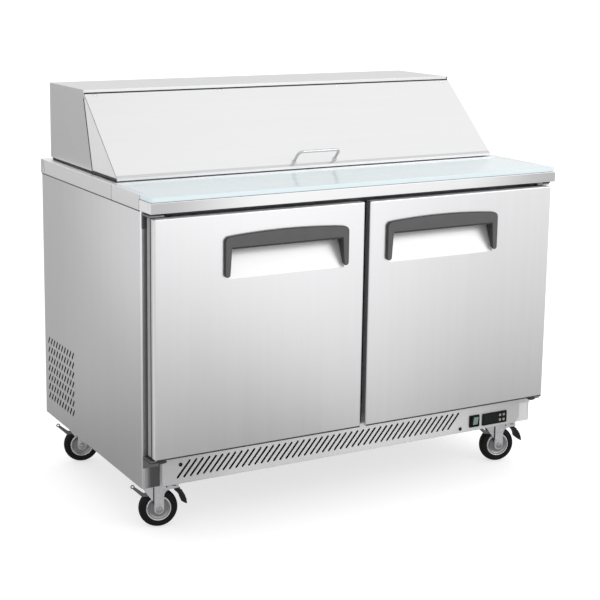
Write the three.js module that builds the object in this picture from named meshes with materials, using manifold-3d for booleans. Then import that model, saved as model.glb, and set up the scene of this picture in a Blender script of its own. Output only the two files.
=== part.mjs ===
// Two-door refrigerated sandwich prep table on casters.
// Millimetres, +Z up. The origin is on the floor under the middle of the object.
// Inside the build group, Y is the depth behind the worktop's front edge.
import * as THREE from 'three';
import { mergeVertices } from 'three/addons/utils/BufferGeometryUtils.js';
import Module from 'manifold-3d';

const wasm = await Module();
wasm.setup();

// ---------------------------------------------------------------- driving dimensions
const GAP = 0.3;                       // clearance between touching pieces
const SHEET = 1.5;                     // sheet metal thickness

const TOP_WIDTH = 1225;                // worktop
const TOP_DEPTH = 762;
const TOP_Z = 887;
const APRON_Z = 847;
const BOARD_THICK = 12.7;
const EAR_WIDTH = 15;
const EAR_FRONT = 68;
const BOARD_BACK = 246;

const BODY_WIDTH = 1220;               // cabinet body
const BODY_FRONT = 65;
const BODY_BACK = 761.5;
const BODY_BOTTOM = 139.5;
const BODY_TOP = 846.5;
const FLANGE_WIDTH = 48;
const WALL = 50;                       // foamed wall
const FLOOR_Z = 250;
const DUCT_Z = 186;
const MACHINE_FRONT = 505;
const MACHINE_TOP = 385;
const BAY_TOP = 800;
const BAY_BOTTOM = 256;
const MULLION = 72;
const STILE_X = 546;

const DOOR_OUTER_X = 601;              // doors
const DOOR_INNER_X = 8;
const DOOR_Z0 = 230;
const DOOR_Z1 = 834;
const DOOR_FRONT = 2.4;
const SKIN_DEPTH = 21.6;
const CORE_STEP = 28;
const DOOR_BACK = 50;
const PIN_X = 585;
const PIN_Y = 32;
const PIN_RADIUS = 4;
const PIN_LENGTH = 10;

const TRIM_X0 = 59;                    // recessed door pull
const TRIM_X1 = 415;
const TRIM_Z0 = 675;
const TRIM_BAR_Z = 749;
const TRIM_END_Z = 778;
const TRIM_CROWN_Z = 785;
const TRIM_PROUD = 8.4;
const POCKET_DEPTH = 36;
const POCKET_TOP = 776;
const POCKET_KNEE = 745;
const POCKET_FOOT = 668;

const HOOD_X = 588;                    // hood and lid
const HOOD_WALL = 15;
const HOOD_BACK = 745;
const HOOD_TOP = 1103;
const HOOD_LIP = 487;
const HOOD_FOOT = 893;
const HINGE_Y = 480;
const HINGE_Z = 1087;
const LID_SLOPE = THREE.MathUtils.degToRad(42);
const LID_THICK = 12;
const LID_FRONT_Z = 896;
const LID_FOOT = 889.5;
const KNUCKLE_X = [-560, -190, 190, 560];

const PAN_COUNT = 6;                   // food pans
const PAN_PITCH = 180;
const PAN_WIDTH = 175;
const PAN_LENGTH = 324;
const PAN_DEPTH = 150;
const PAN_MIDDLE = 464;
const PAN_RIM_Z = 880.5;
const OPENING_X = 546;
const OPENING_Y0 = 296;
const OPENING_Y1 = 632;

const GRILLE_X = 562;                  // kick grille and controls
const GRILLE_FRONT = 48;
const GRILLE_Z0 = 143;
const GRILLE_Z1 = 222;
const SLOT_COUNT = 46;
const SLOT_PITCH = 18.5;
const SLOT_FIRST_X = -503;
const SLOT_Z0 = 161;
const SLOT_Z1 = 201;
const SLOT_LEAN = 34;
const SLOT_WIDTH = 4.6;
const SWITCH = { x0: 384, x1: 419, z0: 154, z1: 189 };
const CONTROLLER = { x0: 429, x1: 515, z0: 153, z1: 188 };
const CONTROL_FRONT = 45.6;

const CASTER_X = 545;                  // casters
const CASTER_Y = [148, 690];
const CASTER_YAW = THREE.MathUtils.degToRad(-14);
const WHEEL_RADIUS = 51;
const WHEEL_WIDTH = 28;
const TRAIL = 14;
const LEVER_REACH = 88;
const LEVER_HALF = 15;
const LEVER_Z = 109;

const ORIGIN_DEPTH = (TOP_DEPTH + DOOR_FRONT - TRIM_PROUD) / 2;

// ---------------------------------------------------------------- solid helpers
function toSolid(geometry) {
  const bare = geometry.clone();
  bare.deleteAttribute('normal');
  bare.deleteAttribute('uv');
  const merged = mergeVertices(bare, 1e-4);
  return new wasm.Manifold(new wasm.Mesh({
    numProp: 3,
    vertProperties: new Float32Array(merged.attributes.position.array),
    triVerts: new Uint32Array(merged.index.array),
  }));
}

function toGeometry(solid) {
  const mesh = solid.getMesh();
  const geometry = new THREE.BufferGeometry();
  geometry.setAttribute('position', new THREE.BufferAttribute(new Float32Array(mesh.vertProperties), 3));
  geometry.setIndex(new THREE.BufferAttribute(new Uint32Array(mesh.triVerts), 1));
  geometry.computeVertexNormals();
  return geometry;
}

function box(x0, x1, y0, y1, z0, z1) {
  const geometry = new THREE.BoxGeometry(x1 - x0, y1 - y0, z1 - z0);
  geometry.translate((x0 + x1) / 2, (y0 + y1) / 2, (z0 + z1) / 2);
  return toSolid(geometry);
}

const X_AXIS = new THREE.Vector3(1, 0, 0);
const Y_AXIS = new THREE.Vector3(0, 1, 0);
const Z_AXIS = new THREE.Vector3(0, 0, 1);

function extrude(shape, depth, curveSegments) {
  return new THREE.ExtrudeGeometry(shape, { depth, bevelEnabled: false, curveSegments });
}

// Extrudes an outline drawn in (y, z) along X.
function prismX(shape, x0, x1, curveSegments = 4) {
  const geometry = extrude(shape, x1 - x0, curveSegments);
  geometry.applyMatrix4(new THREE.Matrix4().makeBasis(Y_AXIS, Z_AXIS, X_AXIS));
  geometry.translate(x0, 0, 0);
  return toSolid(geometry);
}

// Extrudes an outline drawn in (x, z) along Y.
function prismY(shape, y0, y1, curveSegments = 4) {
  const geometry = extrude(shape, y1 - y0, curveSegments);
  geometry.applyMatrix4(new THREE.Matrix4().makeBasis(X_AXIS, Z_AXIS, Y_AXIS.clone().negate()));
  geometry.translate(0, y1, 0);
  return toSolid(geometry);
}

// Extrudes an outline drawn in (x, y) along Z.
function prismZ(shape, z0, z1, curveSegments = 4) {
  const geometry = extrude(shape, z1 - z0, curveSegments);
  geometry.translate(0, 0, z0);
  return toSolid(geometry);
}

function polygon(points) {
  return new THREE.Shape(points.map(([u, v]) => new THREE.Vector2(u, v)));
}

function rectangle(u0, u1, v0, v1) {
  return polygon([[u0, v0], [u1, v0], [u1, v1], [u0, v1]]);
}

function roundedRectangle(u0, u1, v0, v1, radius) {
  const shape = new THREE.Shape();
  shape.absarc(u1 - radius, v0 + radius, radius, -Math.PI / 2, 0, false);
  shape.absarc(u1 - radius, v1 - radius, radius, 0, Math.PI / 2, false);
  shape.absarc(u0 + radius, v1 - radius, radius, Math.PI / 2, Math.PI, false);
  shape.absarc(u0 + radius, v0 + radius, radius, Math.PI, 1.5 * Math.PI, false);
  return shape;
}

function cylinder(radius, length, segments) {
  return new THREE.CylinderGeometry(radius, radius, length, segments);
}

function rodX(radius, x0, x1, y, z, segments = 12) {
  const geometry = cylinder(radius, x1 - x0, segments);
  geometry.rotateZ(Math.PI / 2);
  geometry.translate((x0 + x1) / 2, y, z);
  return toSolid(geometry);
}

function rodY(radius, y0, y1, x, z, segments = 12) {
  const geometry = cylinder(radius, y1 - y0, segments);
  geometry.translate(x, (y0 + y1) / 2, z);
  return toSolid(geometry);
}

function rodZ(radius, z0, z1, x, y, segments = 12) {
  const geometry = cylinder(radius, z1 - z0, segments);
  geometry.rotateX(Math.PI / 2);
  geometry.translate(x, y, (z0 + z1) / 2);
  return toSolid(geometry);
}

function join(solids) {
  return solids.reduce((whole, solid) => whole.add(solid));
}

function cut(solid, cutters) {
  return cutters.reduce((rest, cutter) => rest.subtract(cutter), solid);
}

// The outline of a slanted slot.
function slot(u0, v0, u1, v1, width) {
  const along = Math.atan2(v1 - v0, u1 - u0);
  const du = Math.sin(along) * width / 2;
  const dv = Math.cos(along) * width / 2;
  return polygon([[u1 + du, v1 - dv], [u1 - du, v1 + dv], [u0 - du, v0 + dv], [u0 + du, v0 - dv]]);
}

// ---------------------------------------------------------------- finishes
const FINISHES = {
  stainless: { color: 0xd4d5d7, roughness: 0.3, metalness: 0.9 },
  galvanised: { color: 0xb6b8ba, roughness: 0.5, metalness: 0.8 },
  zinc: { color: 0xb9b6ba, roughness: 0.35, metalness: 0.9 },
  board: { color: 0xe6eff2, roughness: 0.35, metalness: 0 },
  darkPlastic: { color: 0x5a5a5c, roughness: 0.45, metalness: 0 },
  frameGrey: { color: 0x3c3d3f, roughness: 0.6, metalness: 0 },
  gasket: { color: 0x2c2c2e, roughness: 0.8, metalness: 0 },
  liner: { color: 0xe4e5e6, roughness: 0.4, metalness: 0.2 },
  blackGloss: { color: 0x0b0c0c, roughness: 0.12, metalness: 0 },
  blackPaint: { color: 0x1b1b1c, roughness: 0.45, metalness: 0.1 },
  rockerGreen: { color: 0x7f938d, roughness: 0.25, metalness: 0 },
  keyGrey: { color: 0xb8bab9, roughness: 0.5, metalness: 0 },
  tyre: { color: 0x151716, roughness: 0.7, metalness: 0 },
  aluminium: { color: 0xc9cbcc, roughness: 0.45, metalness: 0.9 },
};

const materials = Object.fromEntries(
  Object.entries(FINISHES).map(([name, values]) => [name, new THREE.MeshStandardMaterial(values)]),
);

const build = new THREE.Group();
build.position.y = -ORIGIN_DEPTH;

function addPiece(parent, name, finish, solid) {
  const mesh = new THREE.Mesh(toGeometry(solid), materials[finish]);
  mesh.name = name;
  parent.add(mesh);
  return mesh;
}

// ---------------------------------------------------------------- cabinet
// A side sheet with a front return flange; the vented one has rows of slanted slots low at the back.
function sidePanel(side, vented) {
  const outer = BODY_WIDTH / 2;
  const x0 = side < 0 ? -outer : outer - SHEET;
  const sheet = box(x0, x0 + SHEET, BODY_FRONT, BODY_BACK - 2, BODY_BOTTOM, BODY_TOP);
  const slots = [];
  const rows = vented ? 7 : 0;
  const columns = 10;
  for (let row = 0; row < rows; row += 1) {
    for (let column = 0; column < columns; column += 1) {
      const y = 733 - column * 21;
      const z = 190 + row * 27.5;
      slots.push(prismX(slot(y, z, y - 11, z + 16, SLOT_WIDTH), x0 - 1, x0 + SHEET + 1));
    }
  }
  const inner = side * (outer - FLANGE_WIDTH);
  const flange = box(
    Math.min(inner, side * outer), Math.max(inner, side * outer),
    BODY_FRONT, BODY_FRONT + SHEET, BODY_BOTTOM, BODY_TOP,
  );
  return cut(sheet.add(flange), slots);
}

function rearPanel() {
  const panel = box(-608, 608, BODY_BACK - SHEET, BODY_BACK, 146, BODY_TOP);
  const slots = [];
  const columns = 12;
  for (let column = 0; column < columns; column += 1) {
    const x = -330 + column * 60;
    slots.push(box(x - 3, x + 3, BODY_BACK - 3, BODY_BACK + 1, 200, 330));
  }
  return cut(panel, slots);
}

function basePan() {
  const outer = box(-606, 606, 70, 758, BODY_BOTTOM + GAP, 149);
  const inner = box(-604, 604, 72, 756, BODY_BOTTOM + GAP + 2, 150);
  return outer.subtract(inner);
}

// Foamed cabinet, stepped up over the machine compartment, open at the front and the top.
function insulatedLiner() {
  const outside = polygon([
    [68, DUCT_Z], [MACHINE_FRONT, DUCT_Z], [MACHINE_FRONT, MACHINE_TOP],
    [757, MACHINE_TOP], [757, 845], [68, 845],
  ]);
  const inside = polygon([
    [60, FLOOR_Z], [MACHINE_FRONT - WALL, FLOOR_Z], [MACHINE_FRONT - WALL, MACHINE_TOP + WALL],
    [757 - WALL, MACHINE_TOP + WALL], [757 - WALL, 850], [60, 850],
  ]);
  return prismX(outside, -606, 606).subtract(prismX(inside, -556, 556));
}

function frontFrame() {
  const half = GRILLE_X - 0.5;
  return cut(box(-half, half, BODY_FRONT, 67.7, 205, BODY_TOP), [
    box(-STILE_X, -MULLION / 2, BODY_FRONT - 1, 69, BAY_BOTTOM, BAY_TOP),
    box(MULLION / 2, STILE_X, BODY_FRONT - 1, 69, BAY_BOTTOM, BAY_TOP),
  ]);
}

// Foamed worktop: lower front ledge for the board, ears at its ends, pan opening at the back.
function worktop() {
  const half = TOP_WIDTH / 2;
  const ledge = TOP_Z - BOARD_THICK - GAP;
  return cut(box(-half, half, 0, TOP_DEPTH, APRON_Z, TOP_Z), [
    box(-half - 1, half + 1, -1, EAR_FRONT, ledge, TOP_Z + 1),
    box(-half + EAR_WIDTH, half - EAR_WIDTH, -1, BOARD_BACK + 1, ledge, TOP_Z + 1),
    box(-OPENING_X, OPENING_X, OPENING_Y0, OPENING_Y1, APRON_Z - 1, TOP_Z + 1),
  ]);
}

function cuttingBoard() {
  const half = TOP_WIDTH / 2 - 1.5;
  const neck = TOP_WIDTH / 2 - EAR_WIDTH - 0.8;
  const corner = 7;
  const outline = new THREE.Shape();
  outline.moveTo(-neck, BOARD_BACK);
  outline.lineTo(-neck, EAR_FRONT - 1);
  outline.lineTo(-half, EAR_FRONT - 1);
  outline.lineTo(-half, 1 + corner);
  outline.quadraticCurveTo(-half, 1, -half + corner, 1);
  outline.lineTo(half - corner, 1);
  outline.quadraticCurveTo(half, 1, half, 1 + corner);
  outline.lineTo(half, EAR_FRONT - 1);
  outline.lineTo(neck, EAR_FRONT - 1);
  outline.lineTo(neck, BOARD_BACK);
  return prismZ(outline, TOP_Z - BOARD_THICK, TOP_Z);
}

// Stainless rail that hangs in the opening, with a ledge and five divider bars for the pan rims.
function panRail() {
  const x = OPENING_X - 0.5;
  const y0 = OPENING_Y0 + 0.5;
  const y1 = OPENING_Y1 - 0.5;
  const ring = cut(box(-x, x, y0, y1, 868, 888.5), [
    box(-x + 2, x - 2, y0 + 2, y1 - 2, 878, 890),
    box(-x + 12, x - 12, y0 + 14, y1 - 14, 860, 880),
  ]);
  const lip = cut(box(-x - 7, x + 7, y0 - 7, y1 + 7, TOP_Z + GAP, 888.5), [
    box(-x + 1, x - 1, y0 + 1, y1 - 1, 880, 890),
  ]);
  const bars = [];
  for (let index = 1; index < PAN_COUNT; index += 1) {
    const barX = (index - PAN_COUNT / 2) * PAN_PITCH;
    bars.push(box(barX - 6, barX + 6, y0 + 1, y1 - 1, 870, 878));
  }
  return join([ring, lip, ...bars]);
}

// A pan wall or its inside: a rounded block that narrows downwards.
function taperedBlock(width, length, top, depth, taper, radius) {
  const outline = roundedRectangle(-width / 2, width / 2, -length / 2, length / 2, radius);
  const geometry = extrude(outline, depth, 2);
  const position = geometry.attributes.position;
  for (let index = 0; index < position.count; index += 1) {
    const below = 1 - position.getZ(index) / depth;
    position.setX(index, position.getX(index) * (1 - below * taper / width));
    position.setY(index, position.getY(index) * (1 - below * taper / length));
  }
  geometry.translate(0, 0, top - depth);
  return toSolid(geometry);
}

function foodPan() {
  const bodyWidth = PAN_WIDTH - 17;
  const bodyLength = PAN_LENGTH - 24;
  const rimTop = PAN_RIM_Z + 1.6;
  const rimOutline = roundedRectangle(-PAN_WIDTH / 2, PAN_WIDTH / 2, -PAN_LENGTH / 2, PAN_LENGTH / 2, 12);
  const rim = prismZ(rimOutline, PAN_RIM_Z, rimTop, 2);
  const wall = taperedBlock(bodyWidth, bodyLength, PAN_RIM_Z + 1, PAN_DEPTH, 12, 22);
  const hollow = taperedBlock(bodyWidth - 3, bodyLength - 3, rimTop + 1, PAN_DEPTH, 12, 21);
  return join([rim, wall]).subtract(hollow);
}

// ---------------------------------------------------------------- hood and lid
// Lid directions in (y, z): up the slope, and out of its face.
const UP_SLOPE = [Math.cos(LID_SLOPE), Math.sin(LID_SLOPE)];
const OUT_OF_LID = [-Math.sin(LID_SLOPE), Math.cos(LID_SLOPE)];

function fromHinge(out, up) {
  return [
    HINGE_Y + out * OUT_OF_LID[0] + up * UP_SLOPE[0],
    HINGE_Z + out * OUT_OF_LID[1] + up * UP_SLOPE[1],
  ];
}

const LID_SKIN = 4;                    // outer face of the lid beyond the hinge axis
const lidTopOuter = fromHinge(LID_SKIN, 0);
const lidFrontY = lidTopOuter[0] - (lidTopOuter[1] - LID_FRONT_Z) / Math.tan(LID_SLOPE);

function rearHood() {
  const side = polygon([
    [431, HOOD_FOOT], [HOOD_BACK, HOOD_FOOT], [HOOD_BACK, HOOD_TOP],
    [HOOD_LIP, HOOD_TOP], [HOOD_LIP, 1090], [488, 1081],
  ]);
  const cavity = polygon([
    [400, 880], [HOOD_BACK - HOOD_WALL, 880], [HOOD_BACK - HOOD_WALL, HOOD_TOP - HOOD_WALL],
    [400, HOOD_TOP - HOOD_WALL],
  ]);
  const inner = HOOD_X - HOOD_WALL;
  const shell = prismX(side, -HOOD_X, HOOD_X).subtract(prismX(cavity, -inner, inner));
  const knuckles = KNUCKLE_X.map((x) => join([
    rodX(5, x - 5, x + 5, HINGE_Y, HINGE_Z),
    box(x - 5, x + 5, HINGE_Y, HOOD_LIP + 4, HINGE_Z - 4, 1092),
  ]));
  const bores = KNUCKLE_X.map((x) => rodX(3.3, x - 6, x + 6, HINGE_Y, HINGE_Z));
  return cut(join([shell, ...knuckles]), bores);
}

function frontLid() {
  const step = 25;
  const plate = polygon([
    fromHinge(LID_SKIN, 3), [lidFrontY, LID_FRONT_Z], [lidFrontY, LID_FOOT], [lidFrontY + 11, LID_FOOT],
    fromHinge(LID_SKIN - LID_THICK, -step), fromHinge(-LID_SKIN, -step), fromHinge(-LID_SKIN, 3),
  ]);
  const cheek = polygon([
    fromHinge(LID_SKIN, 3), [lidFrontY, LID_FRONT_Z], [lidFrontY, LID_FOOT], [426, LID_FOOT],
    [483, 1079], fromHinge(-LID_SKIN, 3),
  ]);
  const cheekWidth = 10;
  const shell = join([
    prismX(plate, -HOOD_X, HOOD_X),
    prismX(cheek, -HOOD_X, -HOOD_X + cheekWidth),
    prismX(cheek, HOOD_X - cheekWidth, HOOD_X),
  ]);
  const notches = KNUCKLE_X.map((x) => rodX(12, x - 6, x + 6, HINGE_Y, HINGE_Z, 16));
  const pin = rodX(2.8, -HOOD_X + 5, HOOD_X - 5, HINGE_Y, HINGE_Z);
  return cut(shell, notches).add(pin);
}

// A bent rod: two feet on the lid and a bar between them.
function lidHandle() {
  const rod = 4;
  const bend = 12;
  const half = 64;
  const stand = 40;
  const foot = fromHinge(LID_SKIN + GAP, -Math.hypot(lidTopOuter[0] - lidFrontY, lidTopOuter[1] - LID_FRONT_Z) + 17);
  const at = (x, out) => new THREE.Vector3(x, foot[0] + out * OUT_OF_LID[0], foot[1] + out * OUT_OF_LID[1]);
  const route = new THREE.CurvePath();
  route.add(new THREE.LineCurve3(at(-half, 0), at(-half, stand - bend)));
  route.add(new THREE.QuadraticBezierCurve3(at(-half, stand - bend), at(-half, stand), at(-half + bend, stand)));
  route.add(new THREE.LineCurve3(at(-half + bend, stand), at(half - bend, stand)));
  route.add(new THREE.QuadraticBezierCurve3(at(half - bend, stand), at(half, stand), at(half, stand - bend)));
  route.add(new THREE.LineCurve3(at(half, stand - bend), at(half, 0)));
  const section = new THREE.Shape();
  section.absarc(0, 0, rod, 0, 2 * Math.PI, false);
  const geometry = new THREE.ExtrudeGeometry(section, {
    steps: 24, bevelEnabled: false, extrudePath: route, curveSegments: 4,
  });
  return toSolid(geometry);
}

// ---------------------------------------------------------------- doors
// Door pieces are drawn for the right-hand door; the left-hand door is their mirror image.
function doorSkin() {
  const back = DOOR_FRONT + SKIN_DEPTH;
  const shell = box(DOOR_INNER_X, DOOR_OUTER_X, DOOR_FRONT, back, DOOR_Z0, DOOR_Z1);
  const inside = box(
    DOOR_INNER_X + SHEET, DOOR_OUTER_X - SHEET, DOOR_FRONT + SHEET, back + 1,
    DOOR_Z0 + SHEET, DOOR_Z1 - SHEET,
  );
  const window = box(TRIM_X0 + 9, TRIM_X1 - 9, 0, 10, POCKET_FOOT, POCKET_TOP);
  return cut(shell, [inside, window]);
}

function doorCore() {
  const inset = SHEET + GAP;
  const front = box(
    DOOR_INNER_X + inset, DOOR_OUTER_X - inset, DOOR_FRONT + inset, CORE_STEP + 1,
    DOOR_Z0 + inset, DOOR_Z1 - inset,
  );
  const back = box(DOOR_INNER_X + 1, DOOR_OUTER_X - 1, CORE_STEP, DOOR_BACK, DOOR_Z0 + 0.5, DOOR_Z1 - 0.5);
  const pocket = polygon([
    [0, POCKET_FOOT - 4], [DOOR_FRONT, POCKET_FOOT], [POCKET_DEPTH, POCKET_KNEE],
    [POCKET_DEPTH, POCKET_TOP], [0, POCKET_TOP],
  ]);
  return cut(join([front, back]), [
    prismX(pocket, TRIM_X0 + 9, TRIM_X1 - 9),
    rodZ(PIN_RADIUS + 0.5, DOOR_Z0 - 1, DOOR_Z0 + PIN_LENGTH + 2, PIN_X, PIN_Y, 16),
    rodZ(PIN_RADIUS + 0.5, DOOR_Z1 - PIN_LENGTH - 2, DOOR_Z1 + 1, PIN_X, PIN_Y, 16),
  ]);
}

function doorGasket() {
  const outline = rectangle(16, PIN_X - 1, 240, 824);
  outline.holes.push(rectangle(31, PIN_X - 16, 255, 809));
  return prismY(outline, DOOR_BACK + GAP, BODY_FRONT - GAP);
}

// Inverted-U trim with an arched top, a lip under its bar and a wedge cheek behind each leg.
function doorTrim() {
  const front = DOOR_FRONT - TRIM_PROUD;
  const back = DOOR_FRONT - GAP;
  const corner = 14;
  const legTop = 18.5;
  const legFoot = 14.5;
  const middle = (TRIM_X0 + TRIM_X1) / 2;
  const outline = new THREE.Shape();
  outline.moveTo(TRIM_X0, TRIM_Z0 + legFoot / 2);
  outline.absarc(TRIM_X0 + legFoot / 2, TRIM_Z0 + legFoot / 2, legFoot / 2, Math.PI, 2 * Math.PI, false);
  outline.lineTo(TRIM_X0 + legTop, TRIM_BAR_Z);
  outline.lineTo(TRIM_X1 - legTop, TRIM_BAR_Z);
  outline.lineTo(TRIM_X1 - legFoot, TRIM_Z0 + legFoot / 2);
  outline.absarc(TRIM_X1 - legFoot / 2, TRIM_Z0 + legFoot / 2, legFoot / 2, Math.PI, 2 * Math.PI, false);
  outline.lineTo(TRIM_X1, TRIM_END_Z - corner);
  outline.quadraticCurveTo(TRIM_X1, TRIM_END_Z - 1, TRIM_X1 - corner, TRIM_END_Z);
  outline.quadraticCurveTo(middle, 2 * TRIM_CROWN_Z - TRIM_END_Z, TRIM_X0 + corner, TRIM_END_Z);
  outline.quadraticCurveTo(TRIM_X0, TRIM_END_Z - 1, TRIM_X0, TRIM_END_Z - corner);
  const bar = prismY(outline, front, back, 8);
  const lip = box(TRIM_X0 + 10, TRIM_X1 - 10, front + 2, 10, TRIM_BAR_Z, TRIM_BAR_Z + 8);
  const cheek = polygon([
    [front + 2, POCKET_FOOT + 12], [DOOR_FRONT + 3, POCKET_FOOT + 12], [POCKET_DEPTH - 4, POCKET_KNEE],
    [POCKET_DEPTH - 4, POCKET_KNEE + 12], [front + 2, POCKET_KNEE + 12],
  ]);
  return join([
    bar, lip,
    prismX(cheek, TRIM_X0 + 10, TRIM_X0 + 13),
    prismX(cheek, TRIM_X1 - 13, TRIM_X1 - 10),
  ]);
}

// L-shaped bracket with the door's pivot pin; `up` is +1 below the door and -1 above it.
function hingeBracket(up) {
  const edge = up > 0 ? DOOR_Z0 - 3 : DOOR_Z1 + 2.7;
  const low = up > 0 ? edge - 4 : edge;
  const plate = roundedRectangle(566, 608, 16, 64.5, 6);
  const legX0 = up > 0 ? 566 : PIN_X + 2;
  const leg = box(legX0, 608, 60.5, 64.5, up > 0 ? low - 28 : low - 34, low + 3);
  const pin = up > 0
    ? rodZ(PIN_RADIUS, edge - 1, DOOR_Z0 + PIN_LENGTH, PIN_X, PIN_Y)
    : rodZ(PIN_RADIUS, DOOR_Z1 - PIN_LENGTH, edge + 1, PIN_X, PIN_Y);
  return join([prismZ(plate, low, low + 4), leg, pin]);
}

// ---------------------------------------------------------------- kick grille and controls
function frontGrille() {
  const back = BODY_FRONT - GAP;
  const tray = box(-GRILLE_X, GRILLE_X, GRILLE_FRONT, back, GRILLE_Z0, GRILLE_Z1);
  const inside = box(
    -GRILLE_X + SHEET, GRILLE_X - SHEET, GRILLE_FRONT + SHEET, back + 1,
    GRILLE_Z0 + SHEET, GRILLE_Z1 - SHEET,
  );
  const openings = [];
  for (let index = 0; index < SLOT_COUNT; index += 1) {
    const x = SLOT_FIRST_X + index * SLOT_PITCH - SLOT_LEAN / 2;
    const outline = slot(x, SLOT_Z0, x + SLOT_LEAN, SLOT_Z1, SLOT_WIDTH);
    openings.push(prismY(outline, GRILLE_FRONT - 1, GRILLE_FRONT + SHEET + 1));
  }
  for (const window of [SWITCH, CONTROLLER]) {
    openings.push(box(
      window.x0 + 1.5, window.x1 - 1.5, GRILLE_FRONT - 1, GRILLE_FRONT + SHEET + 1,
      window.z0 + 1.5, window.z1 - 1.5,
    ));
  }
  return cut(tray, [inside, ...openings]);
}

const KEY_SIZE = 7;
const KEY_COLUMNS = [491, 504];
const KEY_ROWS = [177, 163];
const KEY_PROUD = 0.8;
const ROCKER = { x0: 389.5, x1: 413.5, z0: 158.5, z1: 184.5, pivotY: 54 };

// One housing behind the grille, with the switch bezel and the controller fascia in front of it.
function controlHousing() {
  const front = box(382, 517, GRILLE_FRONT + SHEET + GAP, 64, 150, 192);
  const back = box(382, 517, 63, 100, 150, DUCT_Z - 1);
  const fascias = [SWITCH, CONTROLLER].map((window) => prismY(
    roundedRectangle(window.x0 + 2, window.x1 - 2, window.z0 + 2, window.z1 - 2, 2),
    CONTROL_FRONT, GRILLE_FRONT + SHEET + 1, 2,
  ));
  const bezels = [SWITCH, CONTROLLER].map((window) => prismY(
    roundedRectangle(window.x0, window.x1, window.z0, window.z1, 3),
    CONTROL_FRONT, GRILLE_FRONT - GAP, 2,
  ));
  const swing = 2.2;
  const pocket = box(
    ROCKER.x0 - 0.6, ROCKER.x1 + 0.6, 40, 66, ROCKER.z0 - swing, ROCKER.z1 + swing,
  );
  const middleZ = (ROCKER.z0 + ROCKER.z1) / 2;
  const pivots = rodX(2.4, ROCKER.x0 - 3.4, ROCKER.x1 + 3.4, ROCKER.pivotY, middleZ);
  const wells = [];
  for (const x of KEY_COLUMNS) {
    for (const z of KEY_ROWS) {
      const half = KEY_SIZE / 2 + 0.4;
      wells.push(box(x - half, x + half, 40, CONTROL_FRONT + 5, z - half, z + half));
    }
  }
  return cut(join([front, back, ...fascias, ...bezels]), [pocket, pivots, ...wells]);
}

// Paddle with a raised upper half, on two stub pins.
function rocker() {
  const middle = (ROCKER.z0 + ROCKER.z1) / 2;
  const half = (ROCKER.z1 - ROCKER.z0) / 2 - 1.2;
  const paddle = polygon([
    [ROCKER.pivotY + 3, middle - 4], [ROCKER.pivotY + 3, middle + 4],
    [ROCKER.pivotY - 6, middle + half], [ROCKER.pivotY - 11.5, middle + half - 0.4],
    [ROCKER.pivotY - 9.5, middle], [ROCKER.pivotY - 7, middle - half],
    [ROCKER.pivotY - 3, middle - half],
  ]);
  return join([
    prismX(paddle, ROCKER.x0, ROCKER.x1),
    rodX(1.9, ROCKER.x0 - 2.6, ROCKER.x1 + 2.6, ROCKER.pivotY, middle),
  ]);
}

function controllerKey(x, z) {
  const half = KEY_SIZE / 2;
  const outline = roundedRectangle(x - half, x + half, z - half, z + half, 1.5);
  return prismY(outline, CONTROL_FRONT - KEY_PROUD, CONTROL_FRONT + 3, 2);
}

// ---------------------------------------------------------------- refrigeration
function latheZ(profile, segments) {
  const points = profile.map(([radius, height]) => new THREE.Vector2(radius, height));
  const geometry = new THREE.LatheGeometry(points, segments);
  geometry.rotateX(Math.PI / 2);
  return geometry;
}

function compressor() {
  const middleX = 60;
  const middleY = 635;
  const floor = BODY_BOTTOM + GAP + 2 + GAP;
  const dome = latheZ([
    [0, 0], [66, 0], [72, 8], [74, 60], [80, 66], [80, 74], [74, 80], [70, 118], [52, 142], [24, 152], [0, 154],
  ], 20);
  dome.translate(middleX, middleY, floor + 14);
  const feet = box(middleX - 105, middleX + 105, middleY - 70, middleY + 70, floor + 10, floor + 18);
  const mounts = [-90, 90].flatMap((x) => [-56, 56].map(
    (y) => rodZ(11, floor, floor + 11, middleX + x, middleY + y, 10),
  ));
  const terminalBox = box(middleX + 60, middleX + 108, middleY - 32, middleY + 32, floor + 40, floor + 96);
  return join([toSolid(dome), feet, terminalBox, ...mounts]);
}

const CONDENSER_FAN = { y: 630, z: 266, radius: 82 };

// Finned block with its shroud, and the fan motor on three arms.
function condenserCoil() {
  const { y, z, radius } = CONDENSER_FAN;
  const block = box(-596, -548, 525, 735, 162, 370);
  const shroud = cut(box(-549, -498, 525, 735, 162, 370), [
    box(-550, -502, 529, 731, 166, 366),
    rodX(radius + 5, -510, -490, y, z, 24),
  ]);
  const grooves = [];
  for (let index = 0; index < 12; index += 1) {
    const fin = 535 + index * 16.5;
    grooves.push(box(-600, -590, fin, fin + 8, 172, 360));
  }
  const arms = [0, 1, 2].map((index) => {
    const arm = new THREE.BoxGeometry(6, 14, radius + 12);
    arm.translate(0, 0, (radius + 12) / 2);
    arm.rotateX(index * 2 * Math.PI / 3);
    arm.translate(-474, y, z);
    return toSolid(arm);
  });
  const feet = [0, 1, 2].map((index) => {
    const foot = new THREE.BoxGeometry(30, 14, 8);
    foot.translate(-486, 0, radius + 10);
    foot.rotateX(index * 2 * Math.PI / 3);
    foot.translate(0, y, z);
    return toSolid(foot);
  });
  const motor = rodX(30, -478, -420, y, z, 16);
  const shaft = rodX(4, -520, -470, y, z, 12);
  return join([cut(block, grooves), shroud, ...arms, ...feet, motor, shaft]);
}

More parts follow.
